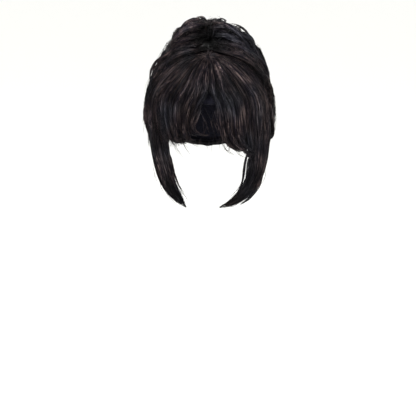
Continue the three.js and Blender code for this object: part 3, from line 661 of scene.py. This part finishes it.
def spray(path, middle, count, steps, wide, deep, *, root=0.4, tip=0.08, loose=0.0, thick=1.0,
          light=1.0, shaded=False):
    """A lock of strands round one path, which draws in to a point at its tip."""
    line = spline(np.asarray(path, float)[None], 60)[0]
    along = unit(np.gradient(line, axis=0))
    outward = square_to(along, line - middle)
    across = np.cross(along, outward)
    first = draws(count, 0, 0.3)
    last = 1 - draws(count, 0, 1) ** 2 * 0.3
    share = first + (last - first) * np.linspace(0, 1, steps)
    body = (root + (1 - root) * ramp(share, 0, 0.35)) * (tip + (1 - tip) * (1 - ramp(share, 0.35, 1)))
    aside = draws(count, -1, 1)
    own = random.normal(0, 20) + 2.5 * aside + random.normal(0, 0.4, (count, 1))
    above = draws(count, -1, 1) * np.sqrt(1 - aside**2)
    aside = aside * wide / 2 * body + wander(count, steps, loose)
    above = above * deep / 2 * body + wander(count, steps, loose / 2)
    at = np.linspace(0, 1, len(line))

    def between(values):
        return np.stack([np.interp(share, at, values[:, axis]) for axis in range(3)], -1)

    outward = unit(between(outward))
    paths = between(line) + between(across) * aside[..., None] + outward * above[..., None]
    # Strands on the outer side of the lock are painted lighter and inner ones darker, a painted shade.
    # When shaded, the patches and the hollows' painted shade are added.
    light = light * (1 + 0.35 * above / (deep / 2)) * draws(count, 0.7, 1.35)
    if shaded:
        light = light * tone_and_painted_shade(paths)
    flow = together(own, 2 * own, share * 5, light)
    return formed(paths, outward, SPRAY_HAIR, thick * draws(count, 0.5, 1.7), flow)


def strand_piece(name, sets, material):
    """One piece from several sets of (paths, outward, wide, deep, sides, flow)."""
    points, faces, flows, places, first = [], {}, [], [], 0
    rows = 8
    columns = math.ceil(sum(len(one[0]) for one in sets) / rows)
    strand = 0
    for paths, outward, wide, deep, sides, flow in sets:
        ring, groups = tubes(paths, outward, wide, deep, sides)
        for group in groups:
            faces.setdefault(group.shape[1], []).append(group + first)
        points.append(ring.reshape(-1, 3))
        flows.append(np.repeat(flow[:, :, None], sides, 2).reshape(-1, 4))
        number = (strand + np.arange(len(paths)))[:, None, None]
        round_, down = np.arange(sides) / sides, np.linspace(0.02, 0.98, ring.shape[1])[:, None]
        cell = number % columns / columns, number // columns / rows
        places.append(together(round_, down, *cell, 0.92 / columns, 1 / rows).reshape(-1, 6))
        strand += len(paths)
        first += len(points[-1])
    faces = [np.concatenate(groups) for groups in faces.values()]
    piece = mesh_object(
        name, np.concatenate(points), faces, np.concatenate(flows), np.concatenate(places)
    )
    add(piece, "hair", material)


def fringe_paths(columns, side):
    """The fringe's lines from the parting to the tips, one for each row of the columns."""
    over, edge, middle, tip, drop, lift = columns.T
    tip_height = -drop * CROWN
    root = np.broadcast_to(toward(0, PART_RISE), (len(over), 3))
    aim = unit(hang(side * over, np.full(len(over), BROW), FRINGE_STAND) - HEAD_CENTRE)
    starts = [PART_GAP + (1 - PART_GAP) * share for share in (0, 0.35, 0.75)]
    path = [skin(arc(root, aim, share), FRINGE_STAND) for share in starts]
    path.append(hang(side * edge, np.full(len(over), BROW), FRINGE_STAND))
    path.append(hang(side * middle, (BROW + tip_height) / 2, FRINGE_STAND * lift))
    path.append(hang(side * tip, tip_height, FRINGE_STAND * lift))
    return np.stack(path, 1)


def fringe_surface(rows, side):
    """The middle of a half of the fringe, from its locks' rows."""
    rows = np.array(rows, float)
    place = np.linspace(-0.5, len(rows) - 0.5, 71)
    low = np.clip(np.floor(place).astype(int), 0, len(rows) - 2)
    between = (place - low)[:, None]
    columns = rows[low] * (1 - between) + rows[low + 1] * between
    return Surface(spline(fringe_paths(columns, side), 49), HEAD_CENTRE, 26, 5)


def lock_surface(rows, side):
    """The outside of a long lock: ellipses along its line."""
    rows = np.array(rows, float)
    down, out, front, wide, deep = rows.T
    run = LOCK_END - LOCK_ROOT
    path = np.stack([side * HEAD_HALF_WIDTH * out, -HEAD_FRONT * front, -LOCK_ROOT - run * down], 1)
    line = spline(path[None], 49)[0]
    below = (-line[:, 2] - LOCK_ROOT) / run
    wide = np.interp(below, down, wide) * LOCK_WIDTH / 2
    deep = np.interp(below, down, deep) * LOCK_THICKNESS / 2
    along = unit(np.gradient(line, axis=0))
    middle = np.array([0, HEAD_BACK / 3, -(LOCK_END + LOCK_ROOT) / 2])
    out = square_to(along, line - middle)
    across = np.cross(along, out)
    angle = np.linspace(0, 2 * math.pi, 40, endpoint=False)[:, None, None]
    points = line + across * wide[:, None] * np.cos(angle) + out * deep[:, None] * np.sin(angle)
    return Surface(points, line[None], 5, 5, around=True, light=LOCK_SHADE)


def swept_surface():
    """The swept hair's outer surface, felt from outside in lines away from the bun's axis."""
    across, along = 220, 60
    tree = hair_tree("swept_hair")
    tilt = math.atan2(BUN_BACK, CROWN)
    axis = np.array([0, math.sin(tilt), math.cos(tilt)])
    front = np.array([0, -math.cos(tilt), math.sin(tilt)])
    centre = Vector(HEAD_CENTRE)
    far = 0.4
    angles = np.arange(6, 160, 1.5)
    turns = 2 * math.pi * np.arange(across) / across
    flats = [front * math.cos(turn) + np.array([math.sin(turn), 0, 0]) for turn in turns]
    reaches, edges = [], []
    for flat in flats:
        reach = []
        for angle in np.radians(angles):
            way = Vector(axis * math.cos(angle) + flat * math.sin(angle))
            place = tree.ray_cast(centre + way * far, -way, far)[0]
            if place is None:
                break
            reach.append((place - centre).length)
        reaches.append(reach)
        edges.append(angles[len(reach) - 1])
    kernel = np.array([1, 2, 3, 2, 1]) / 9
    edges = np.convolve(np.concatenate([edges[-2:], edges, edges[:2]]), kernel, "valid")
    grid = np.zeros((across, along, 3))
    for k, flat in enumerate(flats):
        at = np.linspace(angles[0], edges[k], along)
        reach = np.interp(at, angles[: len(reaches[k])], reaches[k])[:, None]
        at = np.radians(at)[:, None]
        grid[k] = HEAD_CENTRE + reach * (axis * np.cos(at) + flat * np.sin(at))
    return Surface(grid, HEAD_CENTRE, 20, 5, around=True)


def dome(direction, lift):
    """Points over the bun's dome in those directions."""
    size = np.array([BUN_HALF_WIDTH, BUN_HALF_DEPTH, BUN_TOP + BUN_DROP])
    return direction * (size + np.asarray(lift)[..., None]) + BUN_CENTRE


def bun_surface():
    """The bun's dome: locks that sweep round and over it from the hollow in its front."""
    across, along = 240, 49
    widths, stands = np.array(BUN_LOCKS, float).T
    edges = np.concatenate([[0], np.cumsum(widths / widths.sum())])
    round_ = np.arange(across) / across
    lock = np.clip(np.searchsorted(edges, round_, "right") - 1, 0, len(widths) - 1)
    inside = (round_ - edges[lock]) / (edges[lock + 1] - edges[lock])
    angle = 2 * math.pi * round_[:, None]
    hollow = toward(HOLLOW_TURN, HOLLOW_RISE)
    down = toward(HOLLOW_TURN, HOLLOW_RISE - 90)
    aside = toward(HOLLOW_TURN + 90, 0)
    spread = down * np.cos(angle) + aside * np.sin(angle)
    whole = HOLLOW_RISE + (180 - 2 * HOLLOW_RISE) * (1 - np.cos(angle)) / 2 - BUN_FOOT_RISE
    over = [
        hollow * np.cos(np.radians(whole * part)) + spread * np.sin(np.radians(whole * part))
        for part in (0, 1 / 3, 2 / 3)
    ]
    foot = toward(360 * round_, BUN_FOOT_RISE)
    way = unit(spline(np.stack(over + [foot], 1), along))
    away = np.degrees(np.arccos(np.clip(way @ hollow, -1, 1)))
    edge = HOLLOW_HALF_WIDTH + (HOLLOW_HALF_HEIGHT - HOLLOW_HALF_WIDTH) * np.abs(np.cos(angle))
    free = ramp((away - edge / 2) / edge, 0, 1)
    wave = np.sin(math.pi * inside)[:, None] - 1
    v = np.linspace(0, 1, along)[None]
    groove = BUN_LOCK_DEPTH * stands[lock][:, None] * free * (1 - 0.5 * smooth(v)) * wave
    hole = HOLLOW_DEPTH * (1 - ramp(away / edge, 0, 1))
    rise = np.degrees(np.arcsin(np.clip(way[..., 2], -1, 1)))
    inward = BUN_HALF_DEPTH * BUN_FOOT_IN * (90 - rise) / (90 - BUN_FOOT_RISE)
    points = dome(way, groove - hole - inward)
    return Surface(points, BUN_CENTRE, 14, 4, around=True)


def grid_of(across, along, around=True, end=1.0):
    """u and v over a grid of points."""
    u = np.arange(across) / (across if around else across - 1)
    return np.meshgrid(u, np.linspace(0, end, along), indexing="ij")


def grid_faces(across, along, around):
    """Quads over a grid of points."""
    at = np.arange(across * along).reshape(across, along)
    if around:
        at = np.concatenate([at, at[:1]], 0)
    return np.stack([at[:-1, :-1], at[1:, :-1], at[1:, 1:], at[:-1, 1:]], -1).reshape(-1, 4)


def grid_place(u, v, top, tall):
    """Where a grid's points go on the texture map: the whole width, from top, tall high."""
    return together(u, v, 0, top, 1, tall).reshape(-1, 6)


def relief(u, v, fine, depth):
    """Soft ridges along the hair: sums of waves across it whose phase drifts along it."""
    total = np.zeros(np.broadcast(u, v).shape)
    for k, cycles in enumerate((fine, fine * 1.7, fine * 2.9)):
        phase = random.uniform(0, 2 * math.pi) + 1.3 * np.sin(3 * v + k)
        phase = phase + 0.8 * np.sin(2 * math.pi * 3 * u + 5 * v)
        total = total + np.sin(2 * math.pi * round(cycles) * u + phase) / (k + 1)
    return total * depth


def shell(name, surface, u, v, heights, groups, shade=1):
    """A mesh of an outer and an inner layer of points, with half the texture map each."""
    points = np.concatenate([surface.at(u, v, height)[0].reshape(-1, 3) for height in heights])
    flow = flow_of(surface, u, v, np.zeros_like(u), shade).reshape(-1, 4)
    place = np.concatenate([grid_place(u, v, cell_v, 0.48) for cell_v in (0.51, 0.01)])
    return mesh_object(name, points, groups, np.concatenate([flow, flow]), place)


def body(node, material, surface, size, thick, top, fine, depth, round_edges, plain=0.0):
    """The closed streaked body under a mass of hair: a shell, rounded over at its edges.

    Its ridges fade out within plain of u 0, where the strands on it run across them."""
    across, along = size
    u, v = grid_of(across, along, surface.around)
    if plain:
        depth = depth * ramp(np.minimum(u, 1 - u), 0.6 * plain, plain)
    shape = v
    if not surface.around:
        # A sheet's corners are rounded off and its lower edge is ragged.
        corners = 0.16 * ramp(u, 0.86, 1) ** 2 + 0.08 * ramp(1 - u, 0.94, 1) ** 2
        ragged = 0.02 * (np.sin(2 * math.pi * 9 * u) + np.sin(2 * math.pi * 23 * u + 1))
        v = v * (1 - corners - (0.035 + ragged) * ramp(v, 0.5, 1))
    edge = ramp(shape, 0, round_edges[0]) * (1 - ramp(shape, 1 - round_edges[1], 1))
    if not surface.around:
        edge = edge * ramp(u, 0, 0.06) * (1 - ramp(u, 0.94, 1))
    edge = np.sqrt(edge)
    outer = top + relief(u, v, fine, depth) * edge - (top + thick / 2) * (1 - edge)
    inner = -thick + (thick / 2) * (1 - edge)
    faces = grid_faces(across, along, surface.around)
    count = across * along
    at = np.arange(count).reshape(across, along)
    rims = [at[:, 0], at[:, -1][::-1]]
    if surface.around:
        rims = [np.append(rim, rim[0]) for rim in rims]
    else:
        rims += [at[0][::-1], at[-1]]
    sides = [np.stack([r[:-1], r[:-1] + count, r[1:] + count, r[1:]], -1) for r in rims]
    faces = np.concatenate([faces, faces[:, ::-1] + count] + sides)
    heights = outer, np.minimum(inner, outer - 0.2 * MM)
    # The body is painted darker than the strands over it, a painted shade under them, with the hollows'
    # painted shade too.
    shade = BODY_SHADE * tone_and_painted_shade(surface.at(u, v, outer)[0])
    piece = shell(node + "_body", surface, u, v, heights, [faces], shade)
    add(turned_outward(piece), "hair", material, node)


def turned_outward(piece):
    """A closed piece, flipped if its faces point in."""
    mesh = piece.data
    corners = np.zeros(len(mesh.vertices) * 3)
    mesh.vertices.foreach_get("co", corners)
    mesh.calc_loop_triangles()
    ends = np.zeros(len(mesh.loop_triangles) * 3, int)
    mesh.loop_triangles.foreach_get("vertices", ends)
    a, b, c = corners.reshape(-1, 3)[ends.reshape(-1, 3)].transpose(1, 0, 2)
    if (a * np.cross(b, c)).sum() < 0:
        mesh.flip_normals()
    return piece


def closed_body(node, material, surface, size, fine, depth, shrink, end=1.0):
    """The body of a mass that is closed round, such as the bun or a long lock."""
    across, along = size
    u, v = grid_of(across, along, end=end)
    height = relief(u, v, fine, depth) * ramp(v, 0, 0.15) - shrink
    points = surface.at(u, v, height)[0]
    poles = np.stack([points[:, 0].mean(0), points[:, -1].mean(0)])
    at = np.arange(across * along).reshape(across, along)
    count = across * along
    ring = np.append(np.arange(across), 0)
    top = np.stack([np.full(across, count), at[ring[1:], 0], at[ring[:-1], 0]], -1)
    foot = np.stack([np.full(across, count + 1), at[ring[:-1], -1], at[ring[1:], -1]], -1)
    # The body is painted darker than the strands over it, a painted shade under them, with the hollows'
    # painted shade too.
    flow = flow_of(surface, u, v, np.zeros_like(u), BODY_SHADE * tone_and_painted_shade(points)).reshape(-1, 4)
    flow = np.concatenate([flow, flow[:1], flow[along - 1 : along]])
    place = grid_place(u, 0.02 + 0.96 * v, 0, 1)
    place = np.concatenate([place, [[np.nan, pole, 0, 0, 1, 1] for pole in (0, 1)]])
    faces = [grid_faces(across, along, True)[:, ::-1], top, foot]
    points = np.concatenate([points.reshape(-1, 3), poles])
    piece = mesh_object(node + "_body", points, faces, flow, place)
    add(turned_outward(piece), "hair", material, node)


def new_material(name, inputs):
    """A material and its node tree, with those inputs of its shader set."""
    material = bpy.data.materials.new(name)
    material.use_nodes = True
    tree = material.node_tree
    fill(tree, tree.nodes["Principled BSDF"], inputs)
    return material, tree


def fill(tree, node, inputs):
    """Sets a node's inputs: an output of another node is linked, and anything else is a value."""
    for name, value in inputs.items():
        if isinstance(value, bpy.types.NodeSocket):
            tree.links.new(value, node.inputs[name])
        else:
            node.inputs[name].default_value = value


def add_node(tree, kind, inputs, output=0, **settings):
    """Adds a node and gives back one of its outputs."""
    node = tree.nodes.new("ShaderNode" + kind)
    for name, value in settings.items():
        setattr(node, name, value)
    fill(tree, node, inputs)
    return node.outputs[output]


def tones(tree, share, low, high, *between):
    """A colour for each share: (share, colour) at the low end, the high end and between them."""
    colour = add_node(tree, "ValToRGB", {"Fac": share})
    stops = colour.node.color_ramp.elements
    for stop, (place, tone) in zip(stops, (low, high)):
        stop.position, stop.color = place, (*tone, 1)
    for place, tone in between:
        stops.new(place).color = (*tone, 1)
    return colour


def hair_material():
    """Near-black brown fibre: streaks of a warm or cool brown, with a soft long gloss."""
    material, tree = new_material("hair", {"Roughness": 0.38, "Specular IOR Level": 0.04})
    flow = add_node(tree, "Attribute", {}, "Vector", attribute_name="flow")
    shade = add_node(tree, "Attribute", {}, "Fac", attribute_name="shade")
    place = add_node(tree, "TexCoord", {}, "Object")
    streaks = {"Scale": 1.0, "Detail": 3, "Roughness": 0.6, "Vector": flow}
    streaks = add_node(tree, "TexNoise", streaks, "Fac")
    warm = tones(tree, streaks, (0.36, HAIR_DARK), (0.66, HAIR_WARM), (0.5, HAIR_MIDDLE))
    cool = tones(tree, streaks, (0.36, HAIR_DARK), (0.66, COOL_LIGHT), (0.5, COOL_MIDDLE))
    broad = add_node(tree, "TexNoise", {"Scale": 22, "Detail": 1, "Vector": place}, "Fac")
    share = add_node(tree, "MapRange", {"From Min": 0.43, "From Max": 0.66, "Value": broad})
    # A mix of colours has its factor at input 0, its colours at 6 and 7 and its result at output 2.
    mix = add_node(tree, "Mix", {0: share, 6: warm, 7: cool}, 2, data_type="RGBA")
    # The shade on the points scales the colour: random tone, and painted shade in the hollows, under
    # the strands and in the lower layers.
    colour = add_node(tree, "VectorMath", {0: mix, "Scale": shade}, "Vector", operation="SCALE")
    fine = add_node(tree, "TexNoise", {"Scale": 5.0, "Detail": 2, "Vector": flow}, "Fac")
    bump = add_node(tree, "Bump", {"Strength": 0.4, "Distance": 0.8 * MM, "Height": fine})
    fill(tree, tree.nodes["Principled BSDF"], {"Base Color": colour, "Normal": bump})
    return material


def net_material():
    """A knitted net: threads round darker cells."""
    material, tree = new_material("cap_net", {"Roughness": 0.85, "Specular IOR Level": 0.06})
    place = add_node(tree, "TexCoord", {}, "Object")
    cells = {"Scale": 620, "Vector": place}
    cells = add_node(tree, "TexVoronoi", cells, "Distance", feature="DISTANCE_TO_EDGE")
    thread = tones(tree, cells, (0.08, NET_THREAD), (0.22, NET_DARK))
    bump = {"Strength": 0.6, "Distance": 0.4 * MM, "Height": cells}
    bump = add_node(tree, "Bump", bump, invert=True)
    fill(tree, tree.nodes["Principled BSDF"], {"Base Color": thread, "Normal": bump})
    return material


def add(piece, slot, material, *replaced):
    """Makes a piece part of the wig."""
    piece.data.materials.clear()
    piece.data.materials.append(material)
    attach(piece, "root")
    if replaced:
        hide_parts(*replaced)


def make_cap(material):
    """The cap's smooth wall with a rolled hem, inside out to its edge."""
    across, along = 108, 32
    turn = np.arange(across) * 360 / across
    drop = -CROWN * np.interp(np.minimum(turn, 360 - turn), CAP_EDGE_TURN, CAP_EDGE_DROP)
    kernel = np.hanning(9) / np.hanning(9).sum()
    drop = np.convolve(np.concatenate([drop[-4:], drop, drop[:4]]), kernel, "valid")
    angles = np.linspace(1, 175, 350)
    heights = skin(toward(turn[:, None], 90 - angles[None]), 0)[..., 2]
    edge = angles[(heights > drop[:, None]).sum(1) - 1]
    v = np.linspace(0.01, 1, along)
    way = toward(turn[:, None], 90 - edge[:, None] * v[None])
    grid = Surface(skin(way, 0), HEAD_CENTRE, 40, 3, around=True)
    u, v = grid_of(across, along)
    hem = CAP_WALL + (HEM_WALL - CAP_WALL) * ramp(v, 0.93, 0.95) * (1 - 0.7 * ramp(v, 0.98, 1))
    count = across * along
    faces = grid_faces(across, along, True)
    rim = np.append(np.arange(across), 0) * along
    tip = rim + along - 1
    sides = np.stack([tip[:-1], tip[1:], tip[1:] + count, tip[:-1] + count], -1)
    crown = [np.arange(across)[::-1] * along, np.arange(across) * along + count]
    groups = [np.concatenate([faces[:, ::-1], faces + count, sides]), np.stack(crown)]
    piece = shell("wig_cap_net", grid, u, v, (hem, 0.05 * MM + 0 * hem), groups)
    add(turned_outward(piece), "cap_net", material, "wig_cap")


def over_head(side, places, lift):
    """Points over the fringe from (turn, drop) pairs, the drop as a share of the crown's height."""
    turn, drop = np.array(places, float).T
    return hang(side * turn, -drop * CROWN, FRINGE_STAND * lift)


def short_hairs(side, count):
    """Short hairs that stand out all round from the top of the parting."""
    steps = 8
    bearing = side * draws(count, 5, 175)
    reach = draws(count, 2.5, 11) * np.linspace(0.05, 1, steps)
    bearing = np.radians(bearing + wander(count, steps, 5))[..., None]
    reach = np.radians(reach)[..., None]
    spread = toward(0, WHORL_RISE - 90) * np.cos(bearing) + toward(90, 0) * np.sin(bearing)
    way = toward(0, WHORL_RISE) * np.cos(reach) + spread * np.sin(reach)
    share = np.linspace(0, 1, steps)
    lift = draws(count, 2, 6) * MM * np.sin(math.pi * (0.25 + 0.6 * share))
    paths = skin(way, FRINGE_STAND + FRINGE_THICKNESS / 4 + lift)
    own, light = random.normal(0, 2, (count, 1)), draws(count, 0.8, 1.8)
    flow = together(own, 2 * own, share, light)
    return formed(paths, unit(paths - HEAD_CENTRE), SHORT_HAIR, draws(count, 0.5, 1.5), flow)


def sprays(rows, middle, tree, shaded=False):
    """The locks laid over the hair where the front view shows them."""
    form = {"root": 0.7, "tip": 0.3, "loose": 0.9 * MM, "shaded": shaded}
    sets = []
    for path, wide, lift, count, light in rows:
        path, deep = seen(path, lift * MM, tree), min(wide, 4)
        sets.append(spray(path, middle, count, 10, wide * MM, deep * MM, light=light, **form))
    return sets


def flyaways(surface, count, v_range, rise):
    """Loose single hairs that lift off a mass and curl."""
    steps = 8
    share = np.linspace(0, 1, steps)
    start = draws(count, 0, 1)
    first = draws(count, *v_range)
    u = start + random.normal(0, 0.02, (count, 1)) * share + wander(count, steps, 0.004)
    v = np.minimum(first + draws(count, 0.06, 0.22) * share, 1)
    tall = draws(count, 0.4, 1) * rise
    height = 2 * MM + tall * np.sin(math.pi * draws(count, 0.5, 1) * share)
    return laid(surface, (u, v, height, np.zeros(count, int)), LOOSE_HAIR)


def on_side(rows, side):
    """The sprays that start on one side of the face."""
    return [row for row in rows if row[0][0][0] * side > 0]


def make_fringe(name, rows, curls, side, material):
    """A half of the fringe: its body, wisps and strands, and the curls at its inner edge."""
    surface = fringe_surface(rows, side)
    body(name, material, surface, (120, 36), 4 * MM, 0.8 * MM, 17, 1.0 * MM, (0.02, 0.12))
    sets = coats(surface, FRINGE_LAYERS)
    for places, wide, count in curls:
        path = over_head(side, places, np.linspace(1, 1.25, len(places)))
        sets.append(spray(path, HEAD_CENTRE, count, 10, wide * MM, 5 * MM, root=0.7, loose=0.4 * MM))
    for places in STRAYS:
        if np.mean([place[0] for place in places]) * side > 0:
            path = over_head(1, places, np.linspace(1, 1.15, len(places)))
            sets.append(spray(path, HEAD_CENTRE, 3, 14, 3 * MM, 2 * MM, loose=1 * MM, thick=0.6))
    sets += sprays(on_side(FRINGE_SPRAYS, side), HEAD_CENTRE, hair_tree(name))
    sets.append(short_hairs(side, 130))
    strand_piece(name + "_strands", sets, material)


def parted(count, steps, height):
    """Courses over the front of the swept hair: out from the parting to both sides, then down."""
    side = np.where(draws(count, 0, 1) < 0.5, -1, 1)
    start = draws(count, 0, 0.15)
    end = start + draws(count, 0.06, 0.15)
    share = np.linspace(0, 1, steps)
    first = draws(count, 0.35, 1.0)
    v = np.minimum(first + draws(count, -0.03, 0.08) * share, 1)
    u = side * (start + (end - start) * share)
    ridge = np.abs(np.sin(math.pi * (8 * first + 0.3 * side)))
    low, high = height[0] * MM, height[1] * MM
    level = low + (high - low) * ridge * draws(count, 0.4, 1)
    v = v + wander(count, steps, 0.012)
    return u, v, np.broadcast_to(level, u.shape), (first[:, 0] * 16).astype(int)


def make_swept(material):
    """The hair swept up to the bun, full over the ears, with its ends turned under."""
    surface = swept_surface()
    ends = (0.02, 0.06)
    body("swept_hair", material, surface, (200, 40), 5 * MM, 0.0, 60, 1.0 * MM, ends, 0.2)
    sets = coats(surface, SWEPT_LAYERS, (0.12, 0.88))
    # These courses are darker, a painted shade under the locks laid over them.
    sets.append(laid(surface, parted(120, 9, (0.5, 3.5)), SWEPT_WISP, 0.6))
    sets.append(laid(surface, parted(380, 8, (0.8, 4.5)), HAIR, 0.65))
    tree = hair_tree("swept_hair", "fringe_left", "fringe_right")
    sets += sprays(SWEPT_SPRAYS, HEAD_CENTRE, tree, True)
    sets.append(flyaways(surface, 90, (0.1, 0.8), 5 * MM))
    strand_piece("swept_strands", sets, material)


def make_bun(material):
    """The bun: locks that sweep over a dome from the hollow in its front, and its loose loops."""
    surface = bun_surface()
    closed_body("bun", material, surface, (240, 44), 60, 0.6 * MM, 1.2 * MM)
    sets = coats(surface, BUN_LAYERS)
    share = np.linspace(0, 1, 9)
    arch = np.sin(math.pi * share)
    for turn, rise, to_turn, to_rise, stand in LOOPS:
        way = toward(turn + (to_turn - turn) * share, rise + (to_rise - rise) * share)
        path = dome(way, stand * arch**0.7 - 4 * MM * (1 - arch))
        sets.append(spray(path, BUN_CENTRE, 60, 11, 10 * MM, 2.5 * MM, tip=0.6, loose=0.9 * MM))
    sets += sprays(BUN_SPRAYS, BUN_CENTRE, hair_tree("bun", "swept_hair"), True)
    sets.append(flyaways(surface, 110, (0.1, 0.7), 6 * MM))
    strand_piece("bun_strands", sets, material)


def make_long_lock(name, rows, side, material):
    """A long lock in front of an ear, curving in to the chin."""
    surface = lock_surface(rows, side)
    closed_body(name, material, surface, (56, 48), 11, 0.6 * MM, 1.8 * MM, 0.95)
    sets = coats(surface, LOCK_LAYERS)
    sets += sprays(on_side(LONG_LOCK_SPRAYS, side), HEAD_CENTRE, hair_tree(name))
    sets.append(flyaways(surface, 40, (0.45, 0.85), 3 * MM))
    strand_piece(name + "_strands", sets, material)


def make_camera():
    """The photograph's view."""
    data = bpy.data.cameras.new("camera")
    data.sensor_width = SENSOR
    data.lens = LENS
    camera = place_object("camera", data)
    back = Vector(SIGHT_BACK)
    camera.location = Vector(CAMERA_AIM) + CAMERA_AWAY * back
    camera.rotation_euler = back.to_track_quat("Z", "Y").to_euler()
    bpy.context.scene.camera = camera


def area_light(name, place, size, power):
    """A soft lamp that shines at the wig."""
    data = bpy.data.lights.new(name, "AREA")
    data.shape = "RECTANGLE"
    data.size, data.size_y = size
    data.energy = power
    light = place_object(name, data)
    light.location = place
    light.rotation_euler = (Vector(place) - Vector(LAMPS_AIM)).to_track_quat("Z", "Y").to_euler()


def make_studio():
    """A pale floor that curves up behind, a white room and soft lamps."""
    floor_z, near, far, side, rise, radius, bends = -0.5, -10.0, 10.0, 14, 6.0, 1.5, 24
    line = [(near, floor_z)]
    for turn in np.linspace(0, math.pi / 2, bends + 1):
        line.append((far + radius * math.sin(turn), floor_z + radius * (1 - math.cos(turn))))
    line.append((far + radius, floor_z + rise))
    points = [(x, y, z) for y, z in line for x in (-side, side)]
    faces = [(2 * k, 2 * k + 1, 2 * k + 3, 2 * k + 2) for k in range(len(line) - 1)]
    mesh = bpy.data.meshes.new("floor")
    mesh.from_pydata(points, [], faces)
    mesh.polygons.foreach_set("use_smooth", [True] * len(faces))
    floor_look = {"Base Color": (0.975, 0.975, 0.96, 1), "Roughness": 0.9}
    mesh.materials.append(new_material("floor", floor_look)[0])
    place_object("floor", mesh)
    world = bpy.data.worlds.new("room")
    world.use_nodes = True
    room_look = {"Color": (1, 1, 0.985, 1), "Strength": 1.0}
    fill(world.node_tree, world.node_tree.nodes["Background"], room_look)
    bpy.context.scene.world = world
    for lamp in LAMPS:
        area_light(*lamp)
    bpy.context.scene.view_settings.view_transform = "Standard"


make_camera()
make_studio()
hair = hair_material()
make_cap(net_material())
make_swept(hair)
make_bun(hair)
make_fringe("fringe_right", FRINGE_RIGHT, CURLS_RIGHT, -1, hair)
make_fringe("fringe_left", FRINGE_LEFT, CURLS_LEFT, 1, hair)
make_long_lock("long_lock_right", LOCK_RIGHT, -1, hair)
make_long_lock("long_lock_left", LOCK_LEFT, 1, hair)
